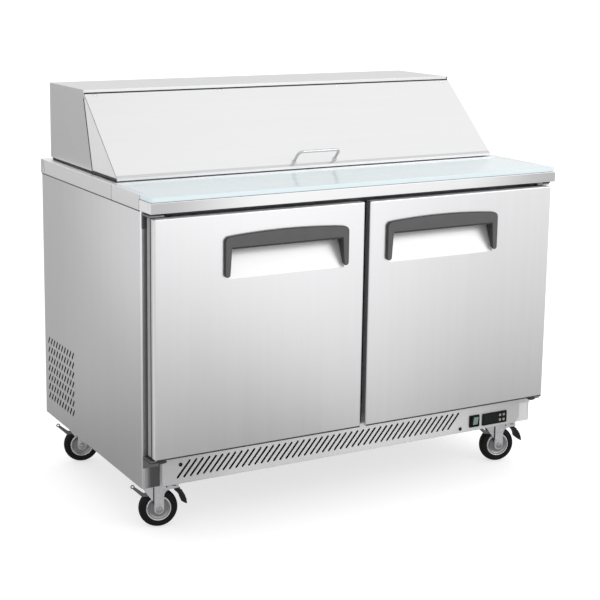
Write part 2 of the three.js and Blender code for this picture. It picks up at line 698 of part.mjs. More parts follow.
// Hub and pitched blades about the X axis at the origin.
function fanBlades(radius, hubRadius, width, bore) {
  const hub = rodX(hubRadius, -width / 2, width / 2, 0, 0, 16);
  const blades = [];
  const count = 5;
  for (let index = 0; index < count; index += 1) {
    const length = radius - hubRadius + 3;
    const blade = new THREE.BoxGeometry(2.4, radius * 0.62, length);
    blade.rotateZ(THREE.MathUtils.degToRad(24));
    blade.translate(0, 0, hubRadius - 3 + length / 2);
    blade.rotateX(index * 2 * Math.PI / count);
    blades.push(toSolid(blade));
  }
  return cut(join([hub, ...blades]), [rodX(bore, -width, width, 0, 0, 16)]);
}

const EVAPORATOR = { x: 250, y0: 652, y1: 706, z0: 500, z1: 690, fanRadius: 66 };

function evaporator() {
  const { x, y0, y1, z0, z1, fanRadius } = EVAPORATOR;
  const middle = (z0 + z1) / 2;
  const grooves = [];
  for (let index = 0; index < 9; index += 1) {
    for (const side of [-1, 1]) {
      const fin = side * (95 + index * 17);
      grooves.push(box(fin - 4, fin + 4, y0 - 1, y0 + 8, z0 + 12, z1 - 12));
    }
  }
  const block = cut(box(-x, x, y0, y1, z0, z1), [
    rodY(fanRadius + 5, y0 - 1, y0 + 34, 0, middle, 28), ...grooves,
  ]);
  const motor = rodY(18, y0 + 22, y0 + 36, 0, middle, 14);
  const shaft = rodY(3, y0 + 4, y0 + 24, 0, middle, 12);
  return join([block, motor, shaft]);
}

// ---------------------------------------------------------------- shelves
function wireShelf(x0, x1) {
  const rod = 7;
  const wire = 4;
  const y0 = 100;
  const y1 = 615;
  const z = 530;
  const frame = box(x0, x1, y0, y1, z, z + rod);
  const inside = box(x0 + rod, x1 - rod, y0 + rod, y1 - rod, z - 1, z + rod + 1);
  const wires = [];
  const count = 11;
  for (let index = 1; index <= count; index += 1) {
    const x = x0 + index * (x1 - x0) / (count + 1);
    wires.push(box(x - wire / 2, x + wire / 2, y0 + 2, y1 - 2, z + 1.5, z + 1.5 + wire));
  }
  return join([frame.subtract(inside), ...wires]);
}

// ---------------------------------------------------------------- casters
// Caster pieces are drawn about the swivel axis, trailing towards +X, with the floor at z = 0.
function casterPlate() {
  return join([
    box(-50, 50, -40, 40, 133.5, BODY_BOTTOM - GAP),
    rodZ(28, 128, 134, 0, 0, 16),
  ]);
}

function casterFork() {
  const legHalf = 13;
  const armEnd = TRAIL + 52;
  const leg = new THREE.Shape();
  leg.moveTo(TRAIL - legHalf, WHEEL_RADIUS);
  leg.absarc(TRAIL, WHEEL_RADIUS, legHalf, Math.PI, 2 * Math.PI, false);
  leg.lineTo(TRAIL + legHalf, 84);
  leg.quadraticCurveTo(TRAIL + legHalf + 3, 103, TRAIL + legHalf + 22, 104);
  leg.lineTo(armEnd, 106);
  leg.lineTo(armEnd - 4, 119);
  leg.lineTo(-27, 119);
  leg.lineTo(-27, 108);
  leg.lineTo(TRAIL - legHalf, 70);
  const inner = WHEEL_WIDTH / 2 + 3;
  const sheet = 3;
  const crown = rodZ(29, 116.5, 127.6, 0, 0, 16);
  const bridge = box(-27, 28, -inner - sheet, inner + sheet, 116.5, 120);
  return join([
    crown, bridge,
    prismY(leg, -inner - sheet, -inner, 4),
    prismY(leg, inner, inner + sheet, 4),
    rodY(5, -inner - sheet - 6, inner + sheet + 6, TRAIL, WHEEL_RADIUS, 12),
    rodY(9, -inner - sheet - 4, -inner - sheet, TRAIL, WHEEL_RADIUS, 6),
    rodY(9, inner + sheet, inner + sheet + 4, TRAIL, WHEEL_RADIUS, 6),
    rodY(3, -inner - 1, inner + 1, 0, LEVER_Z, 10),
  ]);
}

function casterWheel() {
  const half = WHEEL_WIDTH / 2;
  const profile = [
    [5.35, -half], [14, -half], [31, -half + 5], [33, -half + 1], [45, -half], [WHEEL_RADIUS, -5],
    [WHEEL_RADIUS, 5], [45, half], [33, half - 1], [31, half - 5], [14, half], [5.35, half], [5.35, -half],
  ];
  const points = profile.map(([radius, height]) => new THREE.Vector2(radius, height));
  const geometry = new THREE.LatheGeometry(points, 24);
  geometry.translate(TRAIL, 0, WHEEL_RADIUS);
  return toSolid(geometry);
}

// One lever through the fork: a foot blade in front of the trail, a release loop behind it.
function brakeLever() {
  const pad = polygon([
    [58, LEVER_Z + 3], [66, LEVER_Z + 1], [78, 88], [LEVER_REACH, 52], [LEVER_REACH, 46],
    [82, 48], [72, 80], [60, 100], [52, LEVER_Z - 3],
  ]);
  const tail = polygon([
    [-44, LEVER_Z - 2], [-84, 119], [-LEVER_REACH, 120], [-LEVER_REACH, 126], [-82, 126], [-42, LEVER_Z + 3],
  ]);
  const loopHole = box(-80, -52, -LEVER_HALF + 5, LEVER_HALF - 5, 100, 135);
  const bar = box(-46, 56, -13, 13, LEVER_Z - 3, LEVER_Z + 3);
  const boss = rodY(5.6, -13, 13, 0, LEVER_Z, 14);
  const shoe = box(38, 50, -12, 12, LEVER_Z - 9, LEVER_Z - 2);
  return cut(join([
    prismY(pad, -LEVER_HALF, LEVER_HALF),
    prismY(tail, -LEVER_HALF, LEVER_HALF).subtract(loopHole),
    bar, boss, shoe,
  ]), [rodY(3.3, -20, 20, 0, LEVER_Z, 12)]);
}

function addCaster(name, x, y) {
  const place = new THREE.Group();
  place.position.set(x, y, 0);
  build.add(place);
  const turned = new THREE.Group();
  turned.rotation.z = CASTER_YAW;
  place.add(turned);
  addPiece(place, `caster_plate_${name}`, 'zinc', casterPlate());
  addPiece(turned, `caster_fork_${name}`, 'zinc', casterFork());
  addPiece(turned, `caster_wheel_${name}`, 'tyre', casterWheel());
  addPiece(turned, `caster_brake_${name}`, 'blackPaint', brakeLever());
}

// ---------------------------------------------------------------- assembly
function mirrorX(solid) {
  return solid.mirror([1, 0, 0]);
}

function addPlaced(name, finish, solid, x, y, z, turn = 0) {
  const mesh = addPiece(build, name, finish, solid);
  mesh.position.set(x, y, z);
  mesh.rotation.z = turn;
}

addPiece(build, 'left_side_panel', 'stainless', sidePanel(-1, true));
addPiece(build, 'right_side_panel', 'stainless', sidePanel(1, false));
addPiece(build, 'rear_panel', 'galvanised', rearPanel());
addPiece(build, 'base_pan', 'galvanised', basePan());
addPiece(build, 'insulated_liner', 'liner', insulatedLiner());
addPiece(build, 'front_frame', 'frameGrey', frontFrame());
addPiece(build, 'worktop', 'stainless', worktop());
addPiece(build, 'pan_rail', 'stainless', panRail());
for (let index = 0; index < PAN_COUNT; index += 1) {
  const x = (index - (PAN_COUNT - 1) / 2) * PAN_PITCH;
  addPlaced(`food_pan_${index + 1}`, 'stainless', foodPan(), x, PAN_MIDDLE, 0);
}
addPiece(build, 'cutting_board', 'board', cuttingBoard());
addPiece(build, 'rear_hood', 'stainless', rearHood());
addPiece(build, 'front_lid', 'stainless', frontLid());
addPiece(build, 'lid_handle', 'zinc', lidHandle());

const doorPieces = [
  ['door_skin', 'stainless', doorSkin()],
  ['door_core', 'liner', doorCore()],
  ['door_gasket', 'gasket', doorGasket()],
  ['door_handle', 'darkPlastic', doorTrim()],
  ['lower_hinge', 'zinc', hingeBracket(1)],
  ['upper_hinge', 'zinc', hingeBracket(-1)],
];
for (const [name, finish, solid] of doorPieces) {
  addPiece(build, `right_${name}`, finish, solid);
  addPiece(build, `left_${name}`, finish, mirrorX(solid));
}

addPiece(build, 'front_grille', 'stainless', frontGrille());
addPiece(build, 'control_housing', 'blackGloss', controlHousing());
addPiece(build, 'power_rocker', 'rockerGreen', rocker());
KEY_COLUMNS.forEach((x, column) => {
  KEY_ROWS.forEach((z, row) => {
    addPiece(build, `controller_key_${column * 2 + row + 1}`, 'keyGrey', controllerKey(x, z));
  });
});

addPiece(build, 'compressor', 'blackPaint', compressor());
addPiece(build, 'condenser_coil', 'aluminium', condenserCoil());
addPlaced('condenser_fan', 'blackPaint', fanBlades(CONDENSER_FAN.radius, 20, 16, 4.4),
  -508, CONDENSER_FAN.y, CONDENSER_FAN.z);
addPiece(build, 'evaporator', 'aluminium', evaporator());
addPlaced('evaporator_fan', 'darkPlastic', fanBlades(EVAPORATOR.fanRadius, 15, 14, 3.4),
  0, EVAPORATOR.y0 + 12, (EVAPORATOR.z0 + EVAPORATOR.z1) / 2, Math.PI / 2);
addPiece(build, 'left_shelf', 'stainless', wireShelf(-552, -4));
addPiece(build, 'right_shelf', 'stainless', wireShelf(4, 552));

for (const [end, y] of [['front', CASTER_Y[0]], ['rear', CASTER_Y[1]]]) {
  addCaster(`${end}_left`, -CASTER_X, y);
  addCaster(`${end}_right`, CASTER_X, y);
}

const model = new THREE.Group();
model.add(build);

export default model;
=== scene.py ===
"""Looks for a two-door refrigerated sandwich prep table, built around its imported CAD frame.

Shapes are written in millimetres, in the frame's directions: +X right, +Y to the back, +Z up.
A depth is measured back from the worktop's front edge; y_at() turns it into a Y position.
"""
from math import atan2, cos, degrees, pi, radians, sin

import bmesh
import bpy
from mathutils import Matrix, Vector


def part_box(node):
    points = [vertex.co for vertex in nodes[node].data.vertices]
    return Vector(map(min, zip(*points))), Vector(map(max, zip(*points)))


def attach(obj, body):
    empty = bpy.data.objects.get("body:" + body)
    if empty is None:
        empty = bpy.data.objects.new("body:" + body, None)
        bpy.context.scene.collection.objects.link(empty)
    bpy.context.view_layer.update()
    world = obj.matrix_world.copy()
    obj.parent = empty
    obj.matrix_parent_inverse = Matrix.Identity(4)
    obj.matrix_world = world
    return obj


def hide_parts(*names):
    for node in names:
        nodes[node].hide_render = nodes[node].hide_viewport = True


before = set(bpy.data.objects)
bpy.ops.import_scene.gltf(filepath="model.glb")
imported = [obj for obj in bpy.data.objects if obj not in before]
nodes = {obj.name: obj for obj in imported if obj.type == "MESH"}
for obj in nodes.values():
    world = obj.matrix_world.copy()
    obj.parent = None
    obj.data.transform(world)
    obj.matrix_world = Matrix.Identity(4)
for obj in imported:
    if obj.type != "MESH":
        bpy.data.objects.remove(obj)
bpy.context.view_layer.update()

MM = 0.001
FRONT_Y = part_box("worktop")[0].y / MM
SIDES = (("left", -1), ("right", 1))


def y_at(depth):
    return FRONT_Y + depth


def plan_view(*points):
    """(x, depth) places as an (x, y) outline."""
    return [(x, y_at(depth)) for x, depth in points]


def side_view(*points):
    """(depth, z) places as a (y, z) outline."""
    return [(y_at(depth), z) for depth, z in points]


def add_object(name, data):
    made = bpy.data.objects.new(name, data)
    bpy.context.scene.collection.objects.link(made)
    return made


def configure(target, **values):
    for key, value in values.items():
        setattr(target, key, value)


# ---- camera
CAMERA_AT = (-1937.68, -3354.72, 1431.61)
CAMERA_YAW = radians(27.73)
CAMERA_PITCH = radians(10.37)
CAMERA_ROLL = radians(0.38)
CAMERA_LENS = {"sensor_width": 36, "lens": 83.7, "shift_x": 0.1, "shift_y": -0.1333, "clip_end": 200}


def add_camera():
    """A camera at the height and side of a person standing to the left of the table."""
    forward = Vector((
        sin(CAMERA_YAW) * cos(CAMERA_PITCH),
        cos(CAMERA_YAW) * cos(CAMERA_PITCH),
        -sin(CAMERA_PITCH),
    ))
    level = Vector((cos(CAMERA_YAW), -sin(CAMERA_YAW), 0))
    up = level.cross(forward)
    right = level * cos(CAMERA_ROLL) + up * sin(CAMERA_ROLL)
    up = right.cross(forward)
    data = bpy.data.cameras.new("camera")
    configure(data, **CAMERA_LENS)
    camera = add_object("camera", data)
    turn = Matrix((right, up, -forward)).transposed().to_4x4()
    camera.matrix_world = Matrix.Translation(Vector(CAMERA_AT) * MM) @ turn
    bpy.context.scene.camera = camera


# ---- materials
def colour(r, g, b):
    return (r, g, b, 1.0)


def grey(value, blue=None):
    """A grey, with a blue share of its own where one is given."""
    return (value, value, value if blue is None else blue)


class Tree:
    """The node tree of a material."""

    def __init__(self, material):
        material.use_nodes = True
        self.tree = material.node_tree

    def fill(self, socket, value):
        """Links another node's output to a socket, or sets its value."""
        if isinstance(value, bpy.types.NodeSocket):
            self.tree.links.new(value, socket)
        else:
            socket.default_value = value

    def node(self, kind, inputs=(), **values):
        made = self.tree.nodes.new(f"ShaderNode{kind}")
        configure(made, **values)
        for socket, value in dict(inputs).items():
            self.fill(made.inputs[socket], value)
        return made

    def math(self, operation, *values):
        return self.node("Math", enumerate(values), operation=operation).outputs[0]


class Finish(Tree):
    """A Principled material whose colour, roughness and bump come from noise in object space."""

    def __init__(self, name, base, metallic=0.0, roughness=0.4, **fixed):
        self.material = bpy.data.materials.new(name)
        super().__init__(self.material)
        self.shader = self.tree.nodes["Principled BSDF"]
        self.base = base
        self.set("Base Color", colour(*base))
        self.set("Metallic", metallic)
        self.set("Roughness", roughness)
        for key, value in fixed.items():
            self.set(key.replace("_", " ").title().replace("Ior", "IOR"), value)
        self.coordinates = self.node("TexCoord").outputs["Object"]

    def set(self, socket, value):
        self.fill(self.shader.inputs[socket], value)

    def noise(self, *scale, detail=3.0):
        """Noise with one scale, or with one along each axis; returns its factor."""
        stretch = scale if len(scale) == 3 else scale * 3
        mapping = self.node("Mapping", {"Scale": stretch, "Vector": self.coordinates})
        inputs = {"Scale": 1.0, "Detail": detail, "Roughness": 0.55, "Vector": mapping.outputs["Vector"]}
        return self.node("TexNoise", inputs).outputs["Fac"]

    def spread(self, factor, low, high, source=(0.2, 0.8)):
        """Maps a factor smoothly between two numbers."""
        inputs = {"From Min": source[0], "From Max": source[1], "To Min": low, "To Max": high, "Value": factor}
        return self.node("MapRange", inputs, interpolation_type="SMOOTHSTEP").outputs["Result"]

    def tint(self, factor, dark, light, source=(0.2, 0.8)):
        """Varies the base colour between two shares of itself."""
        low, high = (colour(*(min(1.0, c * share) for c in self.base)) for share in (dark, light))
        mix = self.node("Mix", {0: self.spread(factor, 0.0, 1.0, source), 6: low, 7: high}, data_type="RGBA")
        self.set("Base Color", mix.outputs[2])

    def fade(self, factor, share, source=(0.0, 1.0)):
        """Multiplies the base colour by a share that comes in with a factor."""
        shown = self.shader.inputs["Base Color"].links[0].from_socket
        inputs = {0: shown, "Scale": self.spread(factor, 1.0, share, source)}
        self.set("Base Color", self.node("VectorMath", inputs, operation="SCALE").outputs[0])

    def place(self, axis):
        """The place along an axis in metres; along X, how far it is from the middle."""
        place = self.node("SeparateXYZ", {0: self.coordinates}).outputs[axis]
        return self.math("ABSOLUTE", place) if axis == "X" else place

    def wear(self, factor, low, high, source=(0.2, 0.8)):
        """Varies the roughness."""
        self.set("Roughness", self.spread(factor, low, high, source))

    def bump(self, factor, strength, distance):
        inputs = {"Strength": strength, "Distance": distance, "Height": factor}
        self.set("Normal", self.node("Bump", inputs).outputs["Normal"])


def brushed(name, base, along, roughness, metallic=0.92, fine=700.0, cloudy=0.035, across=None,
            painted_light_toward=None):
    """Brushed sheet steel, with its grain along one axis.

    across is a (share, near, far) fade with the distance from the middle of the width, painted shade that darkens
    towards the ends;
    the last argument is a share of painted light that comes in towards the upper front corner.
    """
    middle = sum(roughness) / 2
    finish = Finish(name, base, metallic=metallic, roughness=middle)
    grain, bands = (finish.noise(*(lengthwise if axis == along else crosswise for axis in "XYZ"), detail=2.0)
                    for lengthwise, crosswise in ((5.0, fine), (1.5, 60.0)))
    blend = finish.math("MULTIPLY_ADD", grain, 0.5, finish.math("MULTIPLY", bands, 0.5))
    finish.tint(blend, 1.0 - cloudy, 1.0 + cloudy)
    # painted shade towards the ends of the width, and painted light towards the upper front corner
    if across:
        finish.fade(finish.place("X"), across[0], across[1:])
    if painted_light_toward:
        front = finish.spread(finish.place("Y"), 1.0, 0.0, (-0.31, 0.38))
        upper = finish.spread(finish.place("Z"), 0.0, 1.0, (0.3, 0.85))
        finish.fade(finish.math("MULTIPLY", front, upper), painted_light_toward)
    finish.wear(bands, middle - 0.012, middle + 0.012)
    finish.bump(grain, 0.12, 0.00003)
    return finish.material


def plated(name, base, roughness=(0.28, 0.42), metallic=0.9):
    """Zinc-plated pressed steel, faintly mottled."""
    finish = Finish(name, base, metallic=metallic, roughness=0.35)
    finish.tint(finish.noise(90.0, detail=4.0), 0.9, 1.07)
    finish.wear(finish.noise(40.0), *roughness)
    finish.bump(finish.noise(600.0), 0.15, 0.00005)
    return finish.material


def spangled(name, base):
    """Galvanised sheet, with its crystal spangle."""
    finish = Finish(name, base, metallic=0.85, roughness=0.5)
    spangle = finish.node("TexVoronoi", {"Scale": 70.0, "Vector": finish.coordinates}).outputs["Color"]
    finish.tint(spangle, 0.88, 1.05, (0.0, 1.0))
    finish.wear(spangle, 0.4, 0.58, (0.0, 1.0))
    finish.bump(finish.noise(200.0), 0.1, 0.00005)
    return finish.material


def moulded(name, base, roughness=(0.38, 0.5), grain=1800.0, depth=0.00004, **fixed):
    """Moulded plastic or rubber with a fine grain."""
    finish = Finish(name, base, roughness=sum(roughness) / 2, **fixed)
    finish.tint(finish.noise(35.0), 0.93, 1.06)
    finish.wear(finish.noise(60.0), *roughness)
    finish.bump(finish.noise(grain, detail=1.0), 0.3, depth)
    return finish.material


def board_plastic(name, base):
    """White polyethylene board, smooth, with faint knife marks."""
    finish = Finish(name, base, roughness=0.2, specular_ior_level=0.55, coat_weight=0.35, coat_roughness=0.08)
    finish.tint(finish.noise(12.0), 0.985, 1.01)
    finish.wear(finish.noise(25.0), 0.2, 0.23)
    finish.bump(finish.noise(300.0, 900.0, 200.0, detail=2.0), 0.04, 0.00003)
    return finish.material


# name, colour, the axis along the grain, roughness, and what else differs
BRUSHED = (
    ("steel_upright", grey(0.79, 0.80), "Z", (0.24, 0.36), dict(cloudy=0.02)),
    # painted light: lighter towards the upper front corner
    ("steel_side", grey(0.78, 0.79), "Z", (0.24, 0.36), dict(cloudy=0.02, painted_light_toward=1.25)),
    # painted shade: darker towards both ends
    ("steel_apron", grey(0.79, 0.795), "X", (0.3, 0.38), dict(cloudy=0.02, across=(0.62, 0.3, 0.6))),
    ("steel_level", grey(0.79, 0.80), "X", (0.24, 0.36), dict()),
    # a slightly darker copy of the steel for the lid: painted shade
    ("steel_lid", grey(0.77, 0.775), "X", (0.28, 0.34), dict(cloudy=0.015)),
    # a darker copy of the steel for the hood: painted shade
    ("steel_hood", grey(0.70, 0.705), "X", (0.28, 0.36), dict(cloudy=0.02)),
    ("steel_fold", grey(0.60, 0.605), "X", (0.26, 0.34), dict(cloudy=0.02)),
    # a less metallic copy; its lighter grey keeps the pull pocket bright in its shade: painted light
    ("steel_soft", grey(0.70, 0.705), "X", (0.32, 0.44), dict(metallic=0.5)),
    # a lighter copy for the kick grille, darker towards both ends: painted light and painted shade
    ("steel_kick", grey(0.84, 0.845), "X", (0.32, 0.42), dict(metallic=0.6, cloudy=0.02, across=(0.74, 0.3, 0.54))),
    # lighter copies of the steel for the worktop's end faces: painted light
    ("steel_ear", grey(0.82, 0.825), "Y", (0.3, 0.38), dict(metallic=0.8, cloudy=0.02)),
    ("steel_fold_side", grey(0.86, 0.865), "Y", (0.3, 0.38), dict(metallic=0.8, cloudy=0.02)),
)
FINISHES = {
    **{name: brushed(name, *rest, **more) for name, *rest, more in BRUSHED},
    "galvanised": spangled("galvanised_sheet", (0.52, 0.53, 0.54)),
    "zinc": plated("zinc_plate", (0.74, 0.73, 0.75), metallic=0.7),
    # a darker copy of the zinc plating for hinges and brake levers: painted shade
    "hinge": plated("zinc_plate_shaded", grey(0.24, 0.25)),
    "rod": plated("bright_rod", grey(0.60, 0.61), (0.12, 0.2)),
    "board": board_plastic("board_plastic", (0.64, 0.735, 0.765)),
    "trim": moulded("trim_plastic", grey(0.072, 0.074), (0.36, 0.46)),
    "frame": moulded("frame_plastic", (0.27, 0.272, 0.273), (0.42, 0.55)),
    "edge": moulded("edge_plastic", grey(0.26, 0.265), (0.4, 0.5)),
    # black rubber for the seals, pads and pull bodies, also used for black strips that are painted shadow
    "gasket": moulded("gasket_rubber_and_shadow", grey(0.03, 0.032), (0.55, 0.7)),
    # the pale liner, also used for the strip on the door tops that is painted light
    "liner": moulded("liner_sheet_and_light", (0.72, 0.73, 0.74), (0.34, 0.44), grain=900.0),
    # gloss black for the control panel, also used for the rocker's painted shade
    "gloss": moulded("gloss_panel_and_shade", (0.004, 0.005, 0.004), (0.1, 0.18), depth=0.00001, specular_ior_level=0.3),
    "black": moulded("black_paint", grey(0.010), (0.34, 0.5), grain=900.0, specular_ior_level=0.3),
    "window": moulded("display_window", (0.004, 0.008, 0.006), (0.04, 0.09), depth=0.00001, specular_ior_level=0.4),
    "rim": plated("rim_steel", grey(0.36, 0.37), (0.34, 0.48)),
    "bead": plated("bead_steel", grey(0.92), (0.2, 0.3), metallic=0.6),
    # near black, for dark joints, and for painted shade in holes, recesses and behind slots
    "dark": moulded("dark_joints_and_shade", grey(0.003), (0.75, 0.9), specular_ior_level=0.05),
    "rocker": moulded("rocker_plastic", (0.17, 0.25, 0.23), (0.16, 0.26), coat_weight=0.4),
    "key": moulded("key_plastic", (0.24, 0.25, 0.24), (0.4, 0.5)),
    "tyre": moulded("tyre_rubber", (0.006, 0.007, 0.006), (0.5, 0.68), grain=700.0, depth=0.0001,
                    specular_ior_level=0.16),
    # a darker copy of the steel, light at the outer edge and dark towards the door: painted shade
    "shade": brushed("steel_shade", grey(0.5, 0.505), "Z", (0.34, 0.44), metallic=0.8, across=(0.24, 0.603, 0.585)),
    # a lighter copy of the steel for narrow faces and folds: painted light and painted highlights
    "cheek": brushed("steel_painted_light", grey(0.86), "Z", (0.34, 0.44), metallic=0.6, cloudy=0.02),
    "aluminium": brushed("aluminium_fins", (0.70, 0.71, 0.72), "Z", (0.35, 0.5), fine=400.0),
}
# the slot that a piece in a finish fills, where it isn't stainless
USUAL_SLOTS = {
    "galvanised": "galvanised", "zinc": "zinc", "hinge": "zinc", "rim": "zinc", "bead": "zinc", "rod": "bright_rod",
    "board": "board", "trim": "dark_plastic", "gasket": "gasket", "liner": "liner", "edge": "liner",
    "gloss": "black_gloss", "window": "black_gloss", "black": "black_paint", "tyre": "tyre",
}


# ---- mesh building
def arc(cx, cy, radius, start, end, steps):
    """Points on an arc, in degrees, ends included."""
    angles = (radians(start + (end - start) * step / steps) for step in range(steps + 1))
    return [(cx + radius * cos(angle), cy + radius * sin(angle)) for angle in angles]


def circle(radius, steps):
    return arc(0, 0, radius, 0, 360 - 360 / steps, steps - 1)


def rounded(u0, u1, v0, v1, radius, steps=4):
    """A rectangle with rounded corners, counter-clockwise."""
    left, right, low, high = u0 + radius, u1 - radius, v0 + radius, v1 - radius
    outline = []
    for start, u, v in ((-90, right, low), (0, right, high), (90, left, high), (180, left, low)):
        outline += arc(u, v, radius, start, start + 90, steps)
    return outline


def slot_outline(u0, v0, u1, v1, width, steps=5):
    """A slot with round ends between two points."""
    along = degrees(atan2(v1 - v0, u1 - u0))
    near = arc(u0, v0, width / 2, along + 90, along + 270, steps)
    return arc(u1, v1, width / 2, along - 90, along + 90, steps) + near


def stood(outline, depth):
    """An (x, z) outline as points at a depth."""
    return [(u, y_at(depth), v) for u, v in outline]


def fold_steps(fold, depth, steps):
    """(inset, depth) places round a quarter-circle fold whose flat face is at a depth."""
    angles = (radians(90 * step / steps) for step in range(steps + 1))
    return [(fold * (1 - sin(angle)), depth + fold * (1 - cos(angle))) for angle in angles]


PLACES = {
    "X": Matrix(((0, 0, 1), (1, 0, 0), (0, 1, 0))),
    "Y": Matrix(((1, 0, 0), (0, 0, 1), (0, 1, 0))),
    "Z": Matrix.Identity(3),
}


class Shape:
    """A mesh under construction, in millimetres."""

    def __init__(self):
        self.bm = bmesh.new()

    def prism(self, outline, axis, start, end):
        """Extrudes an outline, drawn across the axis, between two places on it."""
        place = PLACES[axis]
        rings = [[place @ Vector((u, v, height)) for u, v in outline] for height in sorted((start, end))]
        return self.loft(rings)

    def block(self, x0, x1, y0, y1, z0, z1):
        return self.prism([(x0, y0), (x1, y0), (x1, y1), (x0, y1)], "Z", z0, z1)

    def loft(self, rings, closed=False, caps=(0, -1)):
        """Skins a list of rings with the same number of points; caps says which rings to fill."""
        made = [[self.bm.verts.new(point) for point in ring] for ring in rings]
        pairs = list(zip(made, made[1:]))
        if closed:
            pairs.append((made[-1], made[0]))
        for lower, upper in pairs:
            for index in range(len(lower)):
                after = (index + 1) % len(lower)
                self.bm.faces.new((lower[index], lower[after], upper[after], upper[index]))
        for end in () if closed else caps:
            self.bm.faces.new(made[end])
        return self

    def tube(self, points, radius, sides=12, closed=False):
        """A round bar along a line of points."""
        path = [Vector(point) for point in points]
        count = len(path)
        rings = []
        side = None
        for index, point in enumerate(path):
            before = path[index - 1] if closed or index else point
            after = path[(index + 1) % count] if closed or index < count - 1 else point
            ahead = (after - before).normalized()
            if side is None:
                side = ahead.orthogonal().normalized()
            side = (side - ahead * side.dot(ahead)).normalized()
            up = ahead.cross(side)
            rings.append([point + side * u + up * v for u, v in circle(radius, sides)])
        return self.loft(rings, closed=closed)

    def lathe(self, profile, centre, axis="Y", steps=48):
        """Turns a closed (radius, height) profile about the Y or Z axis through the centre."""
        rings = []
        for u, v in circle(1, steps):
            rings.append([Vector(centre) + Vector((r * u, height, r * v) if axis == "Y" else (r * u, r * v, height))
                          for r, height in profile])
        return self.loft(rings, closed=True)

    def turned(self, matrix):
        """Applies a matrix to everything so far."""
        bmesh.ops.transform(self.bm, matrix=matrix, verts=self.bm.verts)
        return self

    def mirrored(self):
        return self.turned(Matrix.Scale(-1, 4, (1, 0, 0)))


def smooth_edges(made, edge, steps=2, crease=35):
    """Small rounded edges, with flat faces that stay flat."""
    mesh = made.data
    mesh.polygons.foreach_set("use_smooth", [True] * len(mesh.polygons))
    if edge:
        bevel = made.modifiers.new("edges", "BEVEL")
        configure(bevel, width=edge * MM, segments=steps, limit_method="ANGLE", angle_limit=radians(crease),
                  harden_normals=False)
    else:
        mesh.set_sharp_from_angle(angle=radians(crease))
    weighted = made.modifiers.new("normals", "WEIGHTED_NORMAL")
    weighted.keep_sharp = True


def piece(name, shape, finish, body="cabinet", slot=None, stands_for=(), edge=0.0, steps=2, crease=35):
    """Makes a shape into a finished object that rides on a body."""
    bm = shape.bm
    bmesh.ops.remove_doubles(bm, verts=bm.verts, dist=0.0005)
    bmesh.ops.recalc_face_normals(bm, faces=bm.faces)
    bmesh.ops.scale(bm, vec=(MM, MM, MM), verts=bm.verts)
    mesh = bpy.data.meshes.new(name)
    bm.to_mesh(mesh)
    bm.free()
    made = add_object(name, mesh)
    mesh.materials.append(FINISHES[finish])
    smooth_edges(made, edge, steps, crease)
    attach(made, body)
    if stands_for:
        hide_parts(*stands_for)


def slab(name, x, depth, z, finish, body="cabinet", **rest):
    """A block-shaped piece between two X places, two depths and two heights."""
    piece(name, Shape().block(*sorted(x), *map(y_at, depth), *z), finish, body, **rest)


def plate(outer, holes, axis, low, high, edge=0.25):
    """A flat sheet with holes and softly rounded edges, as a Shape."""
    curve = bpy.data.curves.new("plate", "CURVE")
    configure(curve, dimensions="2D", fill_mode="BOTH", extrude=(high - low) / 2 - edge, bevel_depth=edge,
              bevel_resolution=1, offset=-edge)
    for outline in [outer, *holes]:
        spline = curve.splines.new("POLY")
        spline.points.add(len(outline) - 1)
        for point, (u, v) in zip(spline.points, outline):
            point.co = (u, v, 0, 1)
        spline.use_cyclic_u = True
    holder = add_object("plate", curve)
    graph = bpy.context.evaluated_depsgraph_get()
    mesh = bpy.data.meshes.new_from_object(holder.evaluated_get(graph))
    bpy.data.objects.remove(holder)
    bpy.data.curves.remove(curve)
    shape = Shape()
    shape.bm.from_mesh(mesh)
    bpy.data.meshes.remove(mesh)
    lift = Matrix.Translation((0, 0, (low + high) / 2))
    return shape.turned(PLACES[axis].to_4x4() @ lift)


def merged(whole, extra):
    """Two shapes as one."""
    scratch = bpy.data.meshes.new("scratch")
    extra.bm.to_mesh(scratch)
    extra.bm.free()
    whole.bm.from_mesh(scratch)
    bpy.data.meshes.remove(scratch)
    return whole


def dress(name, finish, edge):
    """Keeps a CAD node's shape, with rounded edges and a finish of its own."""
    made = nodes[name]
    made.data.materials.clear()
    made.data.materials.append(FINISHES[finish])
    weld = made.modifiers.new("weld", "WELD")
    weld.merge_threshold = 0.00001
    smooth_edges(made, edge)


# ---- stage and light
FLOOR_REACH = 90.0
LAMPS = [
    ("overhead", (2.1, -0.6, 3.6), (0.6, 0, 0.8), 3.4, 4.5),
    ("key", (2.6, -3.6, 2.6), (0, 0, 0.7), 2.6, 34),
]
# how bright the steel sees the floor: by distance in metres, and by direction in degrees from the front
FAR_SHADES = ((0.0, 0.2), (0.9, 0.34), (1.6, 0.57), (2.8, 0.8), (4.8, 0.98), (8.0, 1.08))
SIDE_SHADES = ((-180, 0.4), (-159, 0.36), (-152, 0.46), (-146, 0.68), (-135, 0.86), (-109, 0.84), (-60, 0.95),
               (-5, 0.94), (9, 1.02), (24, 1.58), (40, 0.86), (60, 0.85), (100, 0.9), (180, 0.7))


def stage_plane(name, height, material):
    mesh = bpy.data.meshes.new(name)
    reach = FLOOR_REACH
    corners = [(-reach, -reach, height), (reach, -reach, height), (reach, reach, height), (-reach, reach, height)]
    mesh.from_pydata(corners, [], [(0, 1, 2, 3)])
    mesh.materials.append(material)
    made = add_object(name, mesh)
    return made


